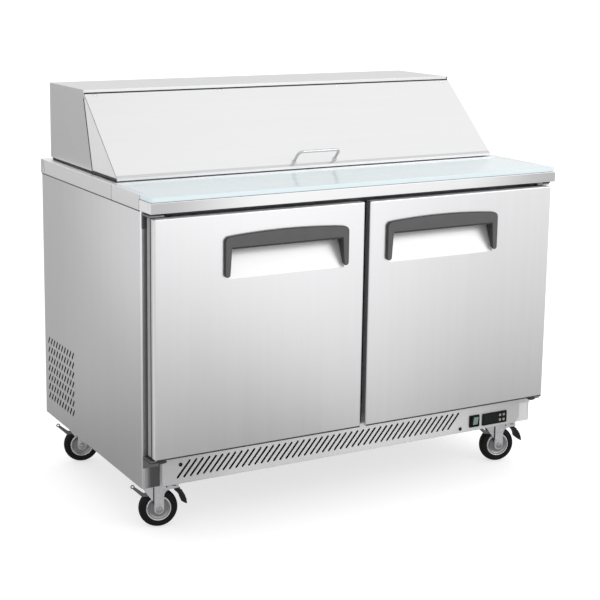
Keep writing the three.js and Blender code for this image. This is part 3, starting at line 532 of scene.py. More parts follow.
def shade_curve(tree, value, shades, unit):
    """A brightness that follows (place, shade) steps along a value; the curve holds half the shade."""
    low, high = shades[0][0], shades[-1][0]
    span = tree.node("MapRange", {"From Min": low * unit, "From Max": high * unit, "Value": value})
    ramp = tree.node("ValToRGB", {"Fac": span.outputs["Result"]})
    elements = ramp.color_ramp.elements
    while len(elements) < len(shades):
        elements.new(0.5)
    for element, (place, shade) in zip(elements, shades):
        element.position = (place - low) / (high - low)
        element.color = colour(*grey(shade / 2))
    return tree.math("MULTIPLY", ramp.outputs["Color"], 2.0)


def reflector_material():
    """What the steel reflects of the studio floor: dimmer close to the table, white further out."""
    card = bpy.data.materials.new("floor_reflection")
    tree = Tree(card)
    tree.tree.nodes.clear()
    place = tree.node("TexCoord").outputs["Object"]
    apart = tree.node("VectorMath", {0: place}, operation="LENGTH").outputs["Value"]
    split = tree.node("SeparateXYZ", {0: place}).outputs
    bearing = tree.math("ARCTAN2", split["X"], tree.math("MULTIPLY", split["Y"], -1.0))
    far = shade_curve(tree, apart, FAR_SHADES, 1.0)
    side = shade_curve(tree, bearing, SIDE_SHADES, pi / 180)
    glow = tree.node("Emission", {"Strength": tree.math("MULTIPLY", far, side)})
    tree.node("OutputMaterial", {"Surface": glow.outputs["Emission"]})
    return card


def add_stage():
    """A pale floor, its reflection, a white surround and two soft lamps."""
    paint = Finish("floor_paint", grey(0.5), roughness=0.9, emission_color=colour(1, 1, 1), emission_strength=0.62)
    paint.tint(paint.noise(2.0), 0.995, 1.005)
    floor = stage_plane("floor", 0.0, paint.material)
    floor.visible_glossy = False
    card = stage_plane("reflector", -0.002, reflector_material())
    configure(card, visible_camera=False, visible_diffuse=False, visible_shadow=False, visible_transmission=False)

    world = bpy.data.worlds.new("studio")
    bpy.context.scene.world = world
    world.use_nodes = True
    background = world.node_tree.nodes["Background"]
    background.inputs["Color"].default_value = colour(1.0, 1.0, 1.0)
    background.inputs["Strength"].default_value = 1.0
    for name, place, target, size, power in LAMPS:
        data = bpy.data.lights.new(name, "AREA")
        configure(data, shape="SQUARE", size=size, energy=power)
        turn = (Vector(target) - Vector(place)).to_track_quat("-Z", "Y")
        configure(add_object(name, data), location=place, rotation_mode="QUATERNION", rotation_quaternion=turn)
    bpy.context.scene.view_settings.view_transform = "Standard"


add_camera()
add_stage()

# ---- cabinet
SHEET = 1.5
BODY_X = 610
BODY_FRONT, BODY_BACK = 65, 759.5
BODY_LOW, BODY_HIGH = 139.5, 846.5
FLANGE = 48
FLANGE_FOLD = 4.0
VENT_ROWS, VENT_COLUMNS = 7, 10
VENT_DEPTH, VENT_Z = 733, 190
VENT_PITCH, VENT_RISE = 21, 27.5
VENT_RUN = (11, 16)
VENT_WIDTH = 7.0
REAR_X = 608
REAR_DEPTH = 761.5
REAR_LOW = 146
REAR_SLOTS = 12
REAR_SLOT_FIRST, REAR_SLOT_PITCH = -330, 60
REAR_SLOT_Z = (203, 327)
REAR_SCREW_ROWS = (162, 390, 618, 832)
REAR_SCREW_COLUMNS = (-596, -298, 0, 298, 596)


def side_sheet(name, side):
    """A folded side sheet: a flat side, with vents on the left, and a rounded front return."""
    fold = FLANGE_FOLD
    front, back = y_at(BODY_FRONT), y_at(BODY_BACK)
    holes = []
    for row in range(VENT_ROWS if side < 0 else 0):
        for column in range(VENT_COLUMNS):
            y = y_at(VENT_DEPTH - column * VENT_PITCH)
            z = VENT_Z + row * VENT_RISE
            holes.append(slot_outline(y, z, y - VENT_RUN[0], z + VENT_RUN[1], VENT_WIDTH))
    sheet = plate(
        [(front + fold, BODY_LOW), (back, BODY_LOW), (back, BODY_HIGH), (front + fold, BODY_HIGH)],
        holes, "X", -BODY_X, -BODY_X + SHEET,
    )
    outer = arc(-BODY_X + fold, front + fold, fold, 180, 270, 6)
    inner = arc(-BODY_X + fold, front + fold, fold - SHEET, 270, 180, 6)
    flange_end = -BODY_X + FLANGE
    section = outer + [(flange_end, front), (flange_end, front + SHEET)] + inner
    shape = merged(sheet, Shape().prism(section, "Z", BODY_LOW, BODY_HIGH))
    if side > 0:
        shape.mirrored()
    piece(f"{name}_side_sheet", shape, "steel_side", stands_for=[f"{name}_side_panel"])
    skin = (BODY_FRONT - 0.25, BODY_FRONT + 0.2)
    if side < 0:
        # a darker strip over the left flange beside the door: painted shade
        slab("left_painted_shade_strip", (-BODY_X + fold + 4, flange_end), skin, (BODY_LOW + 0.5, BODY_HIGH), "shade")
        # a black sheet behind the vent slots: painted shade inside them
        slab("vent_shade_sheet", (-BODY_X + SHEET + 0.3, -BODY_X + SHEET + 0.8), (528, 744), (180, 384), "dark",
             slot="black_paint")
    else:
        # a lighter strip on the right flange beside the grille: painted light
        slab("right_painted_light_strip", (-flange_end + 1.5, BODY_X - fold - 1), skin, (BODY_LOW + 0.5, 222), "cheek")


def screw(name, x, y, z, radius, proud, out, finish="zinc"):
    """A domed screw head with a cross recess, facing out along Y."""
    profile = [(0.01, 0), (radius, 0), (radius, 0.5 * proud), (radius * 0.82, 0.82 * proud), (radius * 0.45, proud),
               (0.01, proud)]
    piece(name, Shape().lathe([(r, out * h) for r, h in profile], (x, y, z), "Y", 20), finish)
    # the cross recess is a dark cross laid on the head: painted shade in its hollow
    cross = Shape()
    reach, wide = radius * 0.42, radius * 0.13
    for u, v in ((reach, wide), (wide, reach)):
        outline = [(x - u, z - v), (x + u, z - v), (x + u, z + v), (x - u, z + v)]
        cross.prism(outline, "Y", y + out * (proud + 0.06), y + out * (proud - 0.5))
    piece(f"{name}_recess", cross, "dark", slot=USUAL_SLOTS[finish])


def rear_sheet():
    """The slotted galvanised back and its screws."""
    holes = []
    for column in range(REAR_SLOTS):
        x = REAR_SLOT_FIRST + column * REAR_SLOT_PITCH
        holes.append(slot_outline(x, REAR_SLOT_Z[0], x, REAR_SLOT_Z[1], 6))
    back = y_at(REAR_DEPTH)
    sheet = plate(rounded(-REAR_X, REAR_X, REAR_LOW, BODY_HIGH, 3), holes, "Y", back - SHEET, back)
    piece("rear_sheet", sheet, "galvanised", stands_for=["rear_panel"])
    for row, z in enumerate(REAR_SCREW_ROWS):
        for column, x in enumerate(REAR_SCREW_COLUMNS):
            screw(f"rear_screw_{row}_{column}", x, back, z, radius=3.6, proud=1.8, out=1)


def worktop_shell():
    """The steel top: ears, apron and rear deck, with narrow seams between its folded sheets."""
    seam = 0.5
    half = 612.5
    inner = half - 15
    low, ledge, top = 847, 874, 887
    front_end, seam_depth, rear_fold = 68, 241, 747
    shape = Shape()
    for x0, x1 in ((-half, -inner), (inner, half)):
        shape.block(x0, x1, y_at(front_end), y_at(seam_depth) - seam, low, top)
        shape.block(x0, x1, y_at(seam_depth), y_at(rear_fold), low, top)
    shape.block(-half, half, y_at(0), y_at(front_end) - seam, low, ledge)
    shape.block(-inner, inner, y_at(front_end), y_at(247), low + 0.6, ledge)
    piece("worktop_front", shape, "steel_level", edge=1.2, steps=3)
    # the apron's face, darker towards both ends: painted shade
    slab("worktop_apron_face", (-half + 1.4, half - 1.4), (-0.15, 0.2), (low + 1.2, ledge - 1.2), "steel_apron")
    opening = plan_view((-546, 296), (546, 296), (546, 632), (-546, 632))
    outline = plan_view((-inner, 247), (inner, 247), (inner, rear_fold + seam), (half, rear_fold + seam), (half, 762),
                        (-half, 762), (-half, rear_fold + seam), (-inner, rear_fold + seam))
    piece("worktop_deck", plate(outline, [opening], "Z", low, top, 0.8), "steel_level", stands_for=["worktop"])
    for name, side in SIDES:
        face = side * half
        # thin overlays on the worktop's end faces in lighter copies of the steel: painted light
        for part, depth, high, finish in (("front", (1.2, 67.2), ledge, "cheek"),
                                          ("middle", (68.6, 240.2), top, "steel_fold_side"),
                                          ("rear", (241.8, 744), top, "steel_ear")):
            slab(f"worktop_painted_light_{part}_{name}", (face - side * 0.2, face + side * 0.15), depth,
                 (low + 1.2, high - 1.2), finish)
        for part, depth, high in (("front", 67.9, ledge), ("middle", seam_depth, top)):
            slab(f"worktop_joint_{part}_{name}", (face - side * 0.4, face + side * 0.2), (depth - 0.7, depth + 0.7),
                 (low + 0.4, high - 0.6), "dark")
    # the mitred corner joints of the rear upstand
    mitre = side_view((741, top - 2), (742.6, top - 2), (732.6, low + 6), (731, low + 6))
    for name, side in SIDES:
        x = side * (half + 0.2)
        piece(f"corner_joint_{name}", Shape().prism(mitre, "X", x, x - side * 0.3), "dark")


def cutting_board():
    """The board over the front of the worktop, narrower where it passes between the ears."""
    half, neck = 611, 596.7
    front, step, back = y_at(1), y_at(67), y_at(246)
    outline = [(-neck, back), (-neck, step), (-half, step)]
    outline += arc(-half + 7, front + 7, 7, 180, 270, 6)
    outline += arc(half - 7, front + 7, 7, 270, 360, 6)
    outline += [(half, step), (neck, step), (neck, back)]
    piece("prep_board", Shape().prism(outline, "Z", 874.3, 887), "board", "board", stands_for=["cutting_board"],
          edge=2.6, steps=4)


PAN_COUNT = 6
PAN_PITCH = 180
PAN_MIDDLE = 464
# width, length, corner radius and height of each ring, from the rim to the floor
PAN_INSIDE = (
    (173.4, 322.4, 11.5, 880.3), (175, 324, 12, 880.9), (175, 324, 12, 881.6), (173.8, 322.8, 11.6, 882.1),
    (160, 302, 23, 882.1), (157, 299, 22.5, 881.2), (155.2, 297.2, 22, 878.6), (145, 287.4, 22, 752),
    (142.5, 284.8, 21, 742), (137, 279, 19, 735), (128, 270, 16, 732.2), (80, 200, 12, 731.8),
)
PAN_OUTSIDE = (
    (173.4, 322.4, 11.5, 880.3), (159, 301, 23.5, 880.2), (157.6, 299.6, 23, 876), (147.4, 289.6, 23, 752),
    (144.6, 286.8, 22, 741), (138, 280, 19, 733), (128, 270, 16, 730.7), (80, 200, 12, 730.5),
)


def pan_skin(x, rings):
    y = y_at(PAN_MIDDLE)
    return Shape().loft([
        [(x + u, y + v, z) for u, v in rounded(-width / 2, width / 2, -length / 2, length / 2, radius, 6)]
        for width, length, radius, z in rings
    ], caps=(-1,))


def food_pans():
    """Deep-drawn pans with a rolled rim and rounded floor."""
    for index in range(PAN_COUNT):
        x = (index - (PAN_COUNT - 1) / 2) * PAN_PITCH
        pan = merged(pan_skin(x, PAN_INSIDE), pan_skin(x, PAN_OUTSIDE))
        piece(f"steel_pan_{index + 1}", pan, "steel_level", stands_for=[f"food_pan_{index + 1}"], crease=50)


for name, side in SIDES:
    side_sheet(name, side)
rear_sheet()
worktop_shell()
cutting_board()
food_pans()

# ---- hood and lid
HINGE = (480, 1087)
LID_SLOPE = radians(42)
LID_SKIN = 4
LID_LOW = 896
HINGE_KNUCKLES = (-560, -190, 190, 560)
HOOD_X = 588


def on_lid(out, up):
    """A (y, z) place measured from the lid's hinge: out of its face, and up its slope."""
    y = y_at(HINGE[0]) - out * sin(LID_SLOPE) + up * cos(LID_SLOPE)
    z = HINGE[1] + out * cos(LID_SLOPE) + up * sin(LID_SLOPE)
    return y, z


LID_LENGTH = (on_lid(LID_SKIN, 0)[1] - LID_LOW) / sin(LID_SLOPE)


def lid_details():
    """Dark joints where the lid's face is folded over its cheeks, and the bright lower fold."""
    inner, outer = LID_SKIN - 2.7, LID_SKIN - 1.2
    seam = [on_lid(outer, -8), on_lid(outer, -LID_LENGTH + 5), on_lid(inner, -LID_LENGTH + 5), on_lid(inner, -8)]
    cheek = [on_lid(LID_SKIN - 3.2, -9), on_lid(LID_SKIN - 3.2, -LID_LENGTH + 7),
             *side_view((424, 897.5), (479.5, 1078))]
    for name, side in SIDES:
        x = side * HOOD_X
        piece(f"lid_joint_{name}", Shape().prism(seam, "X", x - side * 0.3, x + side * 0.05), "dark", "lid")
        # a lighter steel overlay on the lid's end: painted light
        piece(f"lid_cheek_{name}", Shape().prism(cheek, "X", x, x + side * 0.3), "cheek", "lid")
        slab(f"lid_skirt_{name}", (side * (HOOD_X - 6), side * (HOOD_X + 0.4)), (263.4, 425.5), (888.8, 895.6),
             "gasket", "lid", edge=0.4)
    inner, outer = LID_SKIN - 1, LID_SKIN + 0.15
    for index, x in enumerate(HINGE_KNUCKLES):
        cover = Shape()
        for x0, x1, up0, up1 in ((-7.4, 7.4, -13.2, -5.5), (-7.4, -5.4, -5.6, 2.6), (5.4, 7.4, -5.6, 2.6)):
            leaf = [on_lid(inner, up0), on_lid(outer, up0), on_lid(outer, up1), on_lid(inner, up1)]
            cover.prism(leaf, "X", x + x0, x + x1)
        piece(f"lid_hinge_leaf_{index + 1}", cover, "steel_lid", "lid")
    inner, outer = LID_SKIN - 0.5, LID_SKIN + 0.9
    lip = [on_lid(inner, -LID_LENGTH + 9.5), on_lid(outer, -LID_LENGTH + 8.6), on_lid(outer, -LID_LENGTH + 0.6),
           on_lid(inner, -LID_LENGTH + 0.2)]
    piece("lid_lower_fold", Shape().prism(lip, "X", -HOOD_X + 0.6, HOOD_X - 0.6), "steel_fold", "lid", edge=0.5,
          steps=3)


def lid_handle():
    """A bent bright bar on two round feet."""
    bend, half, stand = 13, 64, 40

    def at(x, out):
        return Vector((x, *on_lid(LID_SKIN + out, -LID_LENGTH + 17)))

    points = [at(-half, 0.3), at(-half, 12)]
    for side, angles in ((-1, range(0, 91, 10)), (1, range(90, -1, -10))):
        for swing in map(radians, angles):
            x = side * (half - bend * (1 - cos(swing)))
            points.append(at(x, stand - bend + bend * sin(swing)))
    points += [at(half, 12), at(half, 0.3)]
    piece("lid_bar", Shape().tube(points, 4, 20), "rod", "lid", stands_for=["lid_handle"])
    across = Vector((1, 0, 0))
    for name, side in SIDES:
        up = (at(side * half, 1) - at(side * half, 0)).normalized().cross(across)
        rings = []
        for radius, out in ((6.6, 0.15), (6.4, 0.9), (5.2, 2.0), (4.2, 3.4)):
            rings.append([at(side * half, out) + across * u + up * v for u, v in circle(radius, 20)])
        piece(f"lid_bar_foot_{name}", Shape().loft(rings), "rod", "lid")


def hood_seal():
    """A black bulb seal round the hood's foot, a black strip under its lip that is painted shadow, its edge seals, and
    its top sheet.
    """
    z = 890.1
    x = HOOD_X - 4.2
    front, back = y_at(436), y_at(745) - 4.2
    points = [(-x, front, z), (-x, back - 6, z), (-x + 2, back - 2, z), (-x + 6, back, z),
              (x - 6, back, z), (x - 2, back - 2, z), (x, back - 6, z), (x, front, z)]
    piece("hood_seal", Shape().tube(points, 2.9, 12), "gasket")
    # a black strip along the foot of the hood's lip: painted shadow
    slab("hood_lip_shadow", (-587, 587), (486.2, 487.2), (1090.3, 1095.4), "gasket", edge=0.3)
    cap = side_view((485.9, 1089), (492, 1084), (497, 1084), (497, 1097), (489, 1102), (485.9, 1102))
    piece("hood_lip_cap", Shape().prism(cap, "X", 587.2, 589.4), "gasket", edge=0.4)
    slab("hood_top_sheet", (-586.6, 586.6), (488.4, 743.6), (1102.6, 1103.15), "steel_fold")
    edge = side_view((432.4, 894), (428.9, 894), (485.2, 1080), (488.9, 1080))
    for name, side in SIDES:
        piece(f"hood_edge_seal_{name}", Shape().prism(edge, "X", side * 588.3, side * 575), "gasket")
        # a thin black strip under each side of the worktop: painted shadow
        slab(f"worktop_seal_{name}", (side * 609.6, side * 611.0), (69, 759), (844.2, 846.8), "gasket")


lid_details()
lid_handle()
hood_seal()

# ---- doors
DOOR_X0, DOOR_X1 = 8, 601
DOOR_Z0, DOOR_Z1 = 230, 834
DOOR_FRONT, SKIN_BACK = 2.4, 24
SKIN_FOLD = 3.0
TRIM_X0, TRIM_X1 = 59, 415
PULL_FRONT = DOOR_FRONT - 8.4


def door_loop(inset, depth, corner):
    """The door's outline drawn in by an inset, at a depth."""
    return stood(rounded(DOOR_X0 + inset, DOOR_X1 - inset, DOOR_Z0 + inset, DOOR_Z1 - inset, corner), depth)


def door_slab(x0, x1, depth, z0, z1):
    """A builder of a block; the same for a closed ring of (depth, inset, corner) places below."""
    return lambda: Shape().block(x0, x1, *map(y_at, depth), z0, z1)


def door_ring(*section):
    return lambda: Shape().loft([door_loop(inset, depth, corner) for depth, inset, corner in section], closed=True)


def door_skin():
    """The folded steel pan of a door: flat face with a window for the pull, rounded edges, returns."""
    fold = SKIN_FOLD
    front = y_at(DOOR_FRONT)
    face = plate(
        rounded(DOOR_X0 + fold, DOOR_X1 - fold, DOOR_Z0 + fold, DOOR_Z1 - fold, 0.6),
        [rounded(TRIM_X0 + 9, TRIM_X1 - 9, 668, 776, 6)], "Y", front, front + SHEET, 0.05,
    )
    rings = fold_steps(fold, DOOR_FRONT, 6) + [
        (0, SKIN_BACK - 0.6), (0.6, SKIN_BACK), (SHEET, SKIN_BACK), (SHEET, DOOR_FRONT + fold),
        (fold, DOOR_FRONT + SHEET),
    ]
    loops = [door_loop(inset, depth, max(0.6, 3.6 - inset)) for inset, depth in rings]
    return merged(face, Shape().loft(loops, caps=()))


def door_pocket():
    """The formed recess behind the pull: a sloping back, a deep top and two side walls."""
    profile = side_view((DOOR_FRONT + 0.05, 667.9), (DOOR_FRONT + 1.5, 669.6), (33.5, 741), (35, 746), (35.4, 752),
                        (35.4, 771), (34.4, 774.4), (31, 775.6), (DOOR_FRONT + 0.4, 775.6))
    shape = Shape()
    bm = shape.bm
    rows = [[bm.verts.new((x, y, z)) for x in (TRIM_X0 + 9.4, TRIM_X1 - 9.4)] for y, z in profile]
    for lower, upper in zip(rows, rows[1:]):
        bm.faces.new((lower[0], lower[1], upper[1], upper[0]))
    for wall in zip(*rows):
        bm.faces.new(wall)
    return shape


def pull_outline(inset):
    """An arched bar on two tapering legs, drawn in by an inset all round."""
    leg_top, foot = 18.5 - inset, 7.25
    foot_z, bar_z, end_z, crown_z = 675, 749 + inset, 778, 785 - inset
    middle = (TRIM_X0 + TRIM_X1) / 2
    corner = 14
    span = middle - TRIM_X0 - corner
    steps = 24
    outline = arc(TRIM_X0 + foot, foot_z + foot, foot - inset, 180, 360, 10)
    outline += [(TRIM_X0 + leg_top, bar_z - 4), (TRIM_X0 + leg_top + 1.2, bar_z - 1.2), (TRIM_X0 + leg_top + 4, bar_z)]
    outline += [(TRIM_X1 - leg_top - 4, bar_z), (TRIM_X1 - leg_top - 1.2, bar_z - 1.2), (TRIM_X1 - leg_top, bar_z - 4)]
    outline += arc(TRIM_X1 - foot, foot_z + foot, foot - inset, 180, 360, 10)
    outline += arc(TRIM_X1 - corner, end_z - corner - 0.5, corner - inset, 0, 84, 8)
    for step in range(1, steps):
        x = TRIM_X1 - corner - 2 * span * step / steps
        share = (x - middle) / span
        outline.append((x, crown_z - (crown_z - end_z + inset) * share * share))
    return outline + arc(TRIM_X0 + corner, end_z - corner - 0.5, corner - inset, 96, 180, 8)


def pull_body():
    """The pull's black body, with rounded edges."""
    return Shape().prism(pull_outline(0), "Y", y_at(PULL_FRONT), y_at(DOOR_FRONT - 0.3))


def pull_face():
    """The grey face of the pull, just proud of its body."""
    return Shape().prism(pull_outline(1.3), "Y", y_at(PULL_FRONT - 0.15), y_at(PULL_FRONT + 1.2))


def pull_painted_shade():
    """The lip under the pull's bar, black as a painted shadow line, and the black cheeks behind its legs, painted shade
    on the pocket's side walls.
    """
    near = PULL_FRONT + 2
    shape = Shape().block(TRIM_X0 + 16, TRIM_X1 - 16, y_at(near), y_at(10), 745.4, 757)
    cheek = side_view((near, 680), (5.4, 680), (32, 745), (32, 757), (near, 757))
    shape.prism(cheek, "X", TRIM_X0 + 10, TRIM_X0 + 13)
    return shape.prism(cheek, "X", TRIM_X1 - 13, TRIM_X1 - 10)


# the dark strip under the skin's lower fold, painted shadow; the bright strip on the outer fold, a painted highlight;
# and the pale strip on top, painted light in the shade under the worktop
door_shadow_strip = door_slab(DOOR_X0 + 2, DOOR_X1 - 2, (DOOR_FRONT - 0.15, DOOR_FRONT + 2.85), DOOR_Z0 - 0.2, DOOR_Z0 + 3.8)
door_fold_highlight = door_slab(DOOR_X1 - 0.2, DOOR_X1 + 0.12, (5.6, 15), DOOR_Z0 + 4, DOOR_Z1 - 4)
door_light_cap = door_slab(DOOR_X0 + 3, DOOR_X1 - 3, (5.5, 23), DOOR_Z1 - 0.2, DOOR_Z1 + 0.2)
# the dark ring in the groove behind the skin, painted shade, and the grey plastic edge between the skin and the liner
door_groove_shade = door_ring((24.2, 0.75, 3), (31.5, 0.75, 3), (31.5, 1.3, 3), (24.2, 1.3, 3))
door_edge = door_ring((23, 1.9, 1.1), (28, 1.9, 1.1), (28, 1.0, 2), (49.2, 1.0, 2), (50, 1.8, 1.2), (50, 16, 0.5),
                      (23, 16, 0.5))


def door_liner():
    """The inner liner: a flat border round a shallow pressed field."""
    section = ((15.5, 49.4, 4), (34, 49.6, 16), (40, 49.2, 16), (46, 45.5, 16), (54, 44.8, 16), (150, 44.8, 16))
    return Shape().loft([door_loop(*ring) for ring in section], caps=(-1,))


def door_gasket():
    """A magnetic gasket: a bellows of three folds behind a flat sealing face."""
    section = ((50.4, 2), (52, 0.6), (54, 1.6), (55.6, 0.2), (57.4, 1.4), (59.4, 0), (64, 0), (64.6, 0.8),
               (64.6, 13.6), (64, 14.6), (59.4, 14.6), (57.4, 13.2), (55.6, 14.4), (54, 13), (52, 14), (50.4, 12.6))
    loops = [stood(rounded(16 + inset, 584 - inset, 240 + inset, 824 - inset, 3.5), depth) for depth, inset in section]
    return Shape().loft(loops, closed=True)


# label, builder, finish, slot where it isn't the usual one, CAD node it stands for, rounded edge and its steps
DOOR_PARTS = (
    ("outer_sheet", door_skin, "steel_upright", None, "door_skin", 0, 1),
    ("pull_pocket", door_pocket, "steel_soft", None, None, 0, 1),
    ("pull", pull_body, "gasket", "dark_plastic", "door_handle", 1.6, 3),
    ("pull_face", pull_face, "trim", None, None, 0, 1),
    ("pull_painted_shade", pull_painted_shade, "gasket", "dark_plastic", None, 0.6, 2),
    ("lower_shadow_strip", door_shadow_strip, "gasket", None, None, 0.3, 2),
    ("groove_shade_ring", door_groove_shade, "gasket", "liner", None, 0, 1),
    ("side_fold", door_fold_highlight, "cheek", None, None, 0, 1),
    ("top_light_cap", door_light_cap, "liner", None, None, 0, 1),
    ("edge_frame", door_edge, "edge", None, None, 0, 1),
    ("inner_sheet", door_liner, "liner", None, "door_core", 0, 1),
    ("seal", door_gasket, "gasket", None, "door_gasket", 0, 1),
)
for name, side in SIDES:
    for label, build, finish, slot, node, edge, steps in DOOR_PARTS:
        shape = build()
        if side < 0:
            shape.mirrored()
        stands = [f"{name}_{node}"] if node else []
        piece(f"{name}_{label}", shape, finish, f"{name}_door", slot, stands, edge, steps)

# ---- kick grille and controls
GRILLE_X = 562
GRILLE_FRONT, GRILLE_BACK = 48, 64.6
GRILLE_Z = (143, 222)
GRILLE_FOLD = 2.0
SLOT_COUNT = 46
SLOT_PITCH = 18.5
SLOT_FIRST = -503
SLOT_LEAN = 34
SLOT_Z = (161, 201)
SLOT_WIDTH = 5.8
SWITCH = (384, 419, 154, 189)
SWITCH_FRONT = 45.6
CONTROLLER = (429, 515, 153, 188)
ROCKER_PIVOT = (54, 171.5)
GRILLE_SCREWS = ((-512, 194), (354, 155))


def grille_outline(inset):
    """The grille's outline, with its lower right corner cut off."""
    x = GRILLE_X - inset
    low, high = GRILLE_Z[0] + inset, GRILLE_Z[1] - inset
    cut = 16 - 0.4 * inset
    return [(-x, low), (x - cut, low), (x, low + cut), (x, high), (-x, high)]


def kick_grille():
    """The slotted kick panel with folded edges, a black sheet behind it that is painted shade in its slots, and its two
    screws.
    """
    holes = []
    for index in range(SLOT_COUNT):
        x = SLOT_FIRST + index * SLOT_PITCH - SLOT_LEAN / 2
        holes.append(slot_outline(x, SLOT_Z[0], x + SLOT_LEAN, SLOT_Z[1], SLOT_WIDTH))
    for x0, x1, z0, z1 in (SWITCH, CONTROLLER):
        holes.append(rounded(x0 + 1, x1 - 1, z0 + 1, z1 - 1, 1.5, 2))
    fold = GRILLE_FOLD
    front = y_at(GRILLE_FRONT)
    face = plate(grille_outline(fold), holes, "Y", front, front + SHEET, 0.12)
    rings = fold_steps(fold, GRILLE_FRONT, 4) + [
        (0, GRILLE_BACK), (SHEET, GRILLE_BACK), (SHEET, GRILLE_FRONT + fold), (fold, GRILLE_FRONT + SHEET)]
    rim = Shape().loft([stood(grille_outline(inset), depth) for inset, depth in rings], caps=())
    piece("kick_grille", merged(face, rim), "steel_kick", stands_for=["front_grille"])
    # a lighter steel strip on the grille's left side: painted highlight on its fold
    slab("grille_side_fold", (-GRILLE_X - 0.12, -GRILLE_X + 0.2), (50.4, 64.2), (144, 221), "cheek")
    slab("grille_side_joint", (GRILLE_X + 0.1, GRILLE_X + 3.6), (64.2, 64.7), (146, 222), "edge", slot="dark_plastic")
    # a black sheet behind the grille's slots: painted shade inside them
    slab("grille_shade_sheet", (-540, 376), (49.7, 51), (150, 214), "dark", slot="black_paint")
    for index, (x, z) in enumerate(GRILLE_SCREWS):
        screw(f"grille_screw_{index}", x, front, z, radius=5.2, proud=2.4, out=-1, finish="black")


def control_details():
    """The controller's display window, the rim of the switch, and a black piece over the left of its rocker that is
    painted shade for the rocker's side.
    """
    depth, height = ROCKER_PIVOT
    paddle = side_view(*((depth + u, height + v) for u, v in (
        (-6, 12), (-11.75, 11.55), (-9.75, 0), (-7.25, -11.95), (-3, -11.95))))
    piece("rocker_shade_piece", Shape().prism(paddle, "X", 389.2, 397.5), "gloss", "rocker", edge=0.3)
    front = y_at(SWITCH_FRONT)
    window = Shape().prism(rounded(434, 484, 158.5, 182.5, 3, 5), "Y", front - 0.5, front + 0.1)
    piece("controller_window", window, "window", edge=0.2)
    x0, x1, z0, z1 = SWITCH
    loops = []
    for inset, out in ((1.5, 0), (1.5, 1.4), (2.1, 1.9), (3.4, 1.9), (4.2, 0.6), (4.2, 0)):
        outline = rounded(x0 + inset, x1 - inset, z0 + inset - 0.6, z1 - inset + 0.6, 2.5, 4)
        loops.append(stood(outline, SWITCH_FRONT - out))
    piece("switch_rim", Shape().loft(loops, closed=True), "gloss")


kick_grille()
control_details()


# ---- hinges
def oval(u, v, half_u, half_v):
    return [(u + half_u * a, v + half_v * b) for a, b in arc(0, 0, 1, 0, 345, 23)]


def hinge_details(name, side):
    """The black bushings, stops and pads of a door's two hinges."""
    for label, low, high in (("lower", 227.1, 229.8), ("upper", 834.2, 836.6)):
        pad = Shape().prism(arc(side * 585, y_at(32), 9.5, 0, 345, 23), "Z", low, high)
        piece(f"{name}_{label}_bushing", pad, "gasket", edge=0.5)
    stop = Shape().prism(oval(side * 570, y_at(23), 7.5, 4.6), "Z", 227.1, 229.7)
    piece(f"{name}_hinge_stop", stop, "gasket", edge=0.5)
    bumper = Shape().prism(oval(side * 577, 221.6, 12, 3.6), "Y", y_at(12.5), y_at(17.5))
    piece(f"{name}_hinge_bumper", bumper, "gasket", edge=0.6)

    def pad_outline(x0, x1, near, far, radius):
        return rounded(*sorted((side * x0, side * x1)), y_at(near), y_at(far), radius)

    liner = Shape().prism(pad_outline(565.4, 608.8, 15.4, 64.4, 6), "Z", 220.6, 222.9)
    piece(f"{name}_hinge_pad", liner, "gasket", edge=0.3)
    cap = Shape().prism(pad_outline(590, 609, 14.6, 30, 4), "Z", 840.9, 844)
    cap.prism(pad_outline(540, 562, 22, 60, 4), "Z", 838.4, 845)
    piece(f"{name}_hinge_cap", cap, "gasket", edge=0.5)


for name, side in SIDES:
    hinge_details(name, side)

# ---- inside
SHELF_Z = 533.5
SHELF_WIRES = 21
FAN_Z = 595


def wire_shelf(name, x0, x1):
    """A round-wire shelf: a rim, close wires and two stiffeners below."""
    y0, y1 = y_at(103.4), y_at(611.6)
    a, b = x0 + 3.4, x1 - 3.4
    rim = Shape().tube([(u, v, SHELF_Z) for u, v in rounded(a, b, y0, y1, 12, 5)], 3.3, 12, closed=True)
    for index in range(1, SHELF_WIRES):
        x = a + (b - a) * index / SHELF_WIRES
        rim.tube([(x, y0, SHELF_Z + 1.4), (x, y1, SHELF_Z + 1.4)], 1.7, 8)
    for y in (y_at(240), y_at(475)):
        rim.tube([(a, y, SHELF_Z - 1.9), (b, y, SHELF_Z - 1.9)], 1.7, 8)
    piece(f"{name}_wire_shelf", rim, "rod", stands_for=[f"{name}_shelf"])


def shelf_supports():
    """Slotted uprights at the walls and the middle, with a clip under each shelf corner."""
    for label, depth, foot in (("front", 135, 262), ("rear", 575, 445)):
        y = y_at(depth)
        holes = [slot_outline(y - 3, z, y + 3, z, 3.2, 3) for z in range(foot + 20, 790, 26)]
        # each upright's place, its thickness towards +X, and where its clips start and which way they reach
        for name, x, width, clips in (("left", -555.4, 3.0, ((-552.4, 1),)),
                                      ("middle", -2.4, 4.8, ((-2.4, -1), (2.4, 1))),
                                      ("right", 555.4, -3.0, ((552.4, -1),))):
            low, high = sorted((x, x + width))
            upright = plate(rounded(y - 8, y + 8, foot, 798, 1.5, 2), holes, "X", low, high, 0.2)
            piece(f"upright_{label}_{name}", upright, "galvanised")
            for start, reach in clips:
                slab(f"clip_{label}_{name}_{'l' if reach < 0 else 'r'}", (start, start + reach * 10),
                     (depth - 7, depth + 7), (526.4, 529.6), "zinc", edge=0.5)


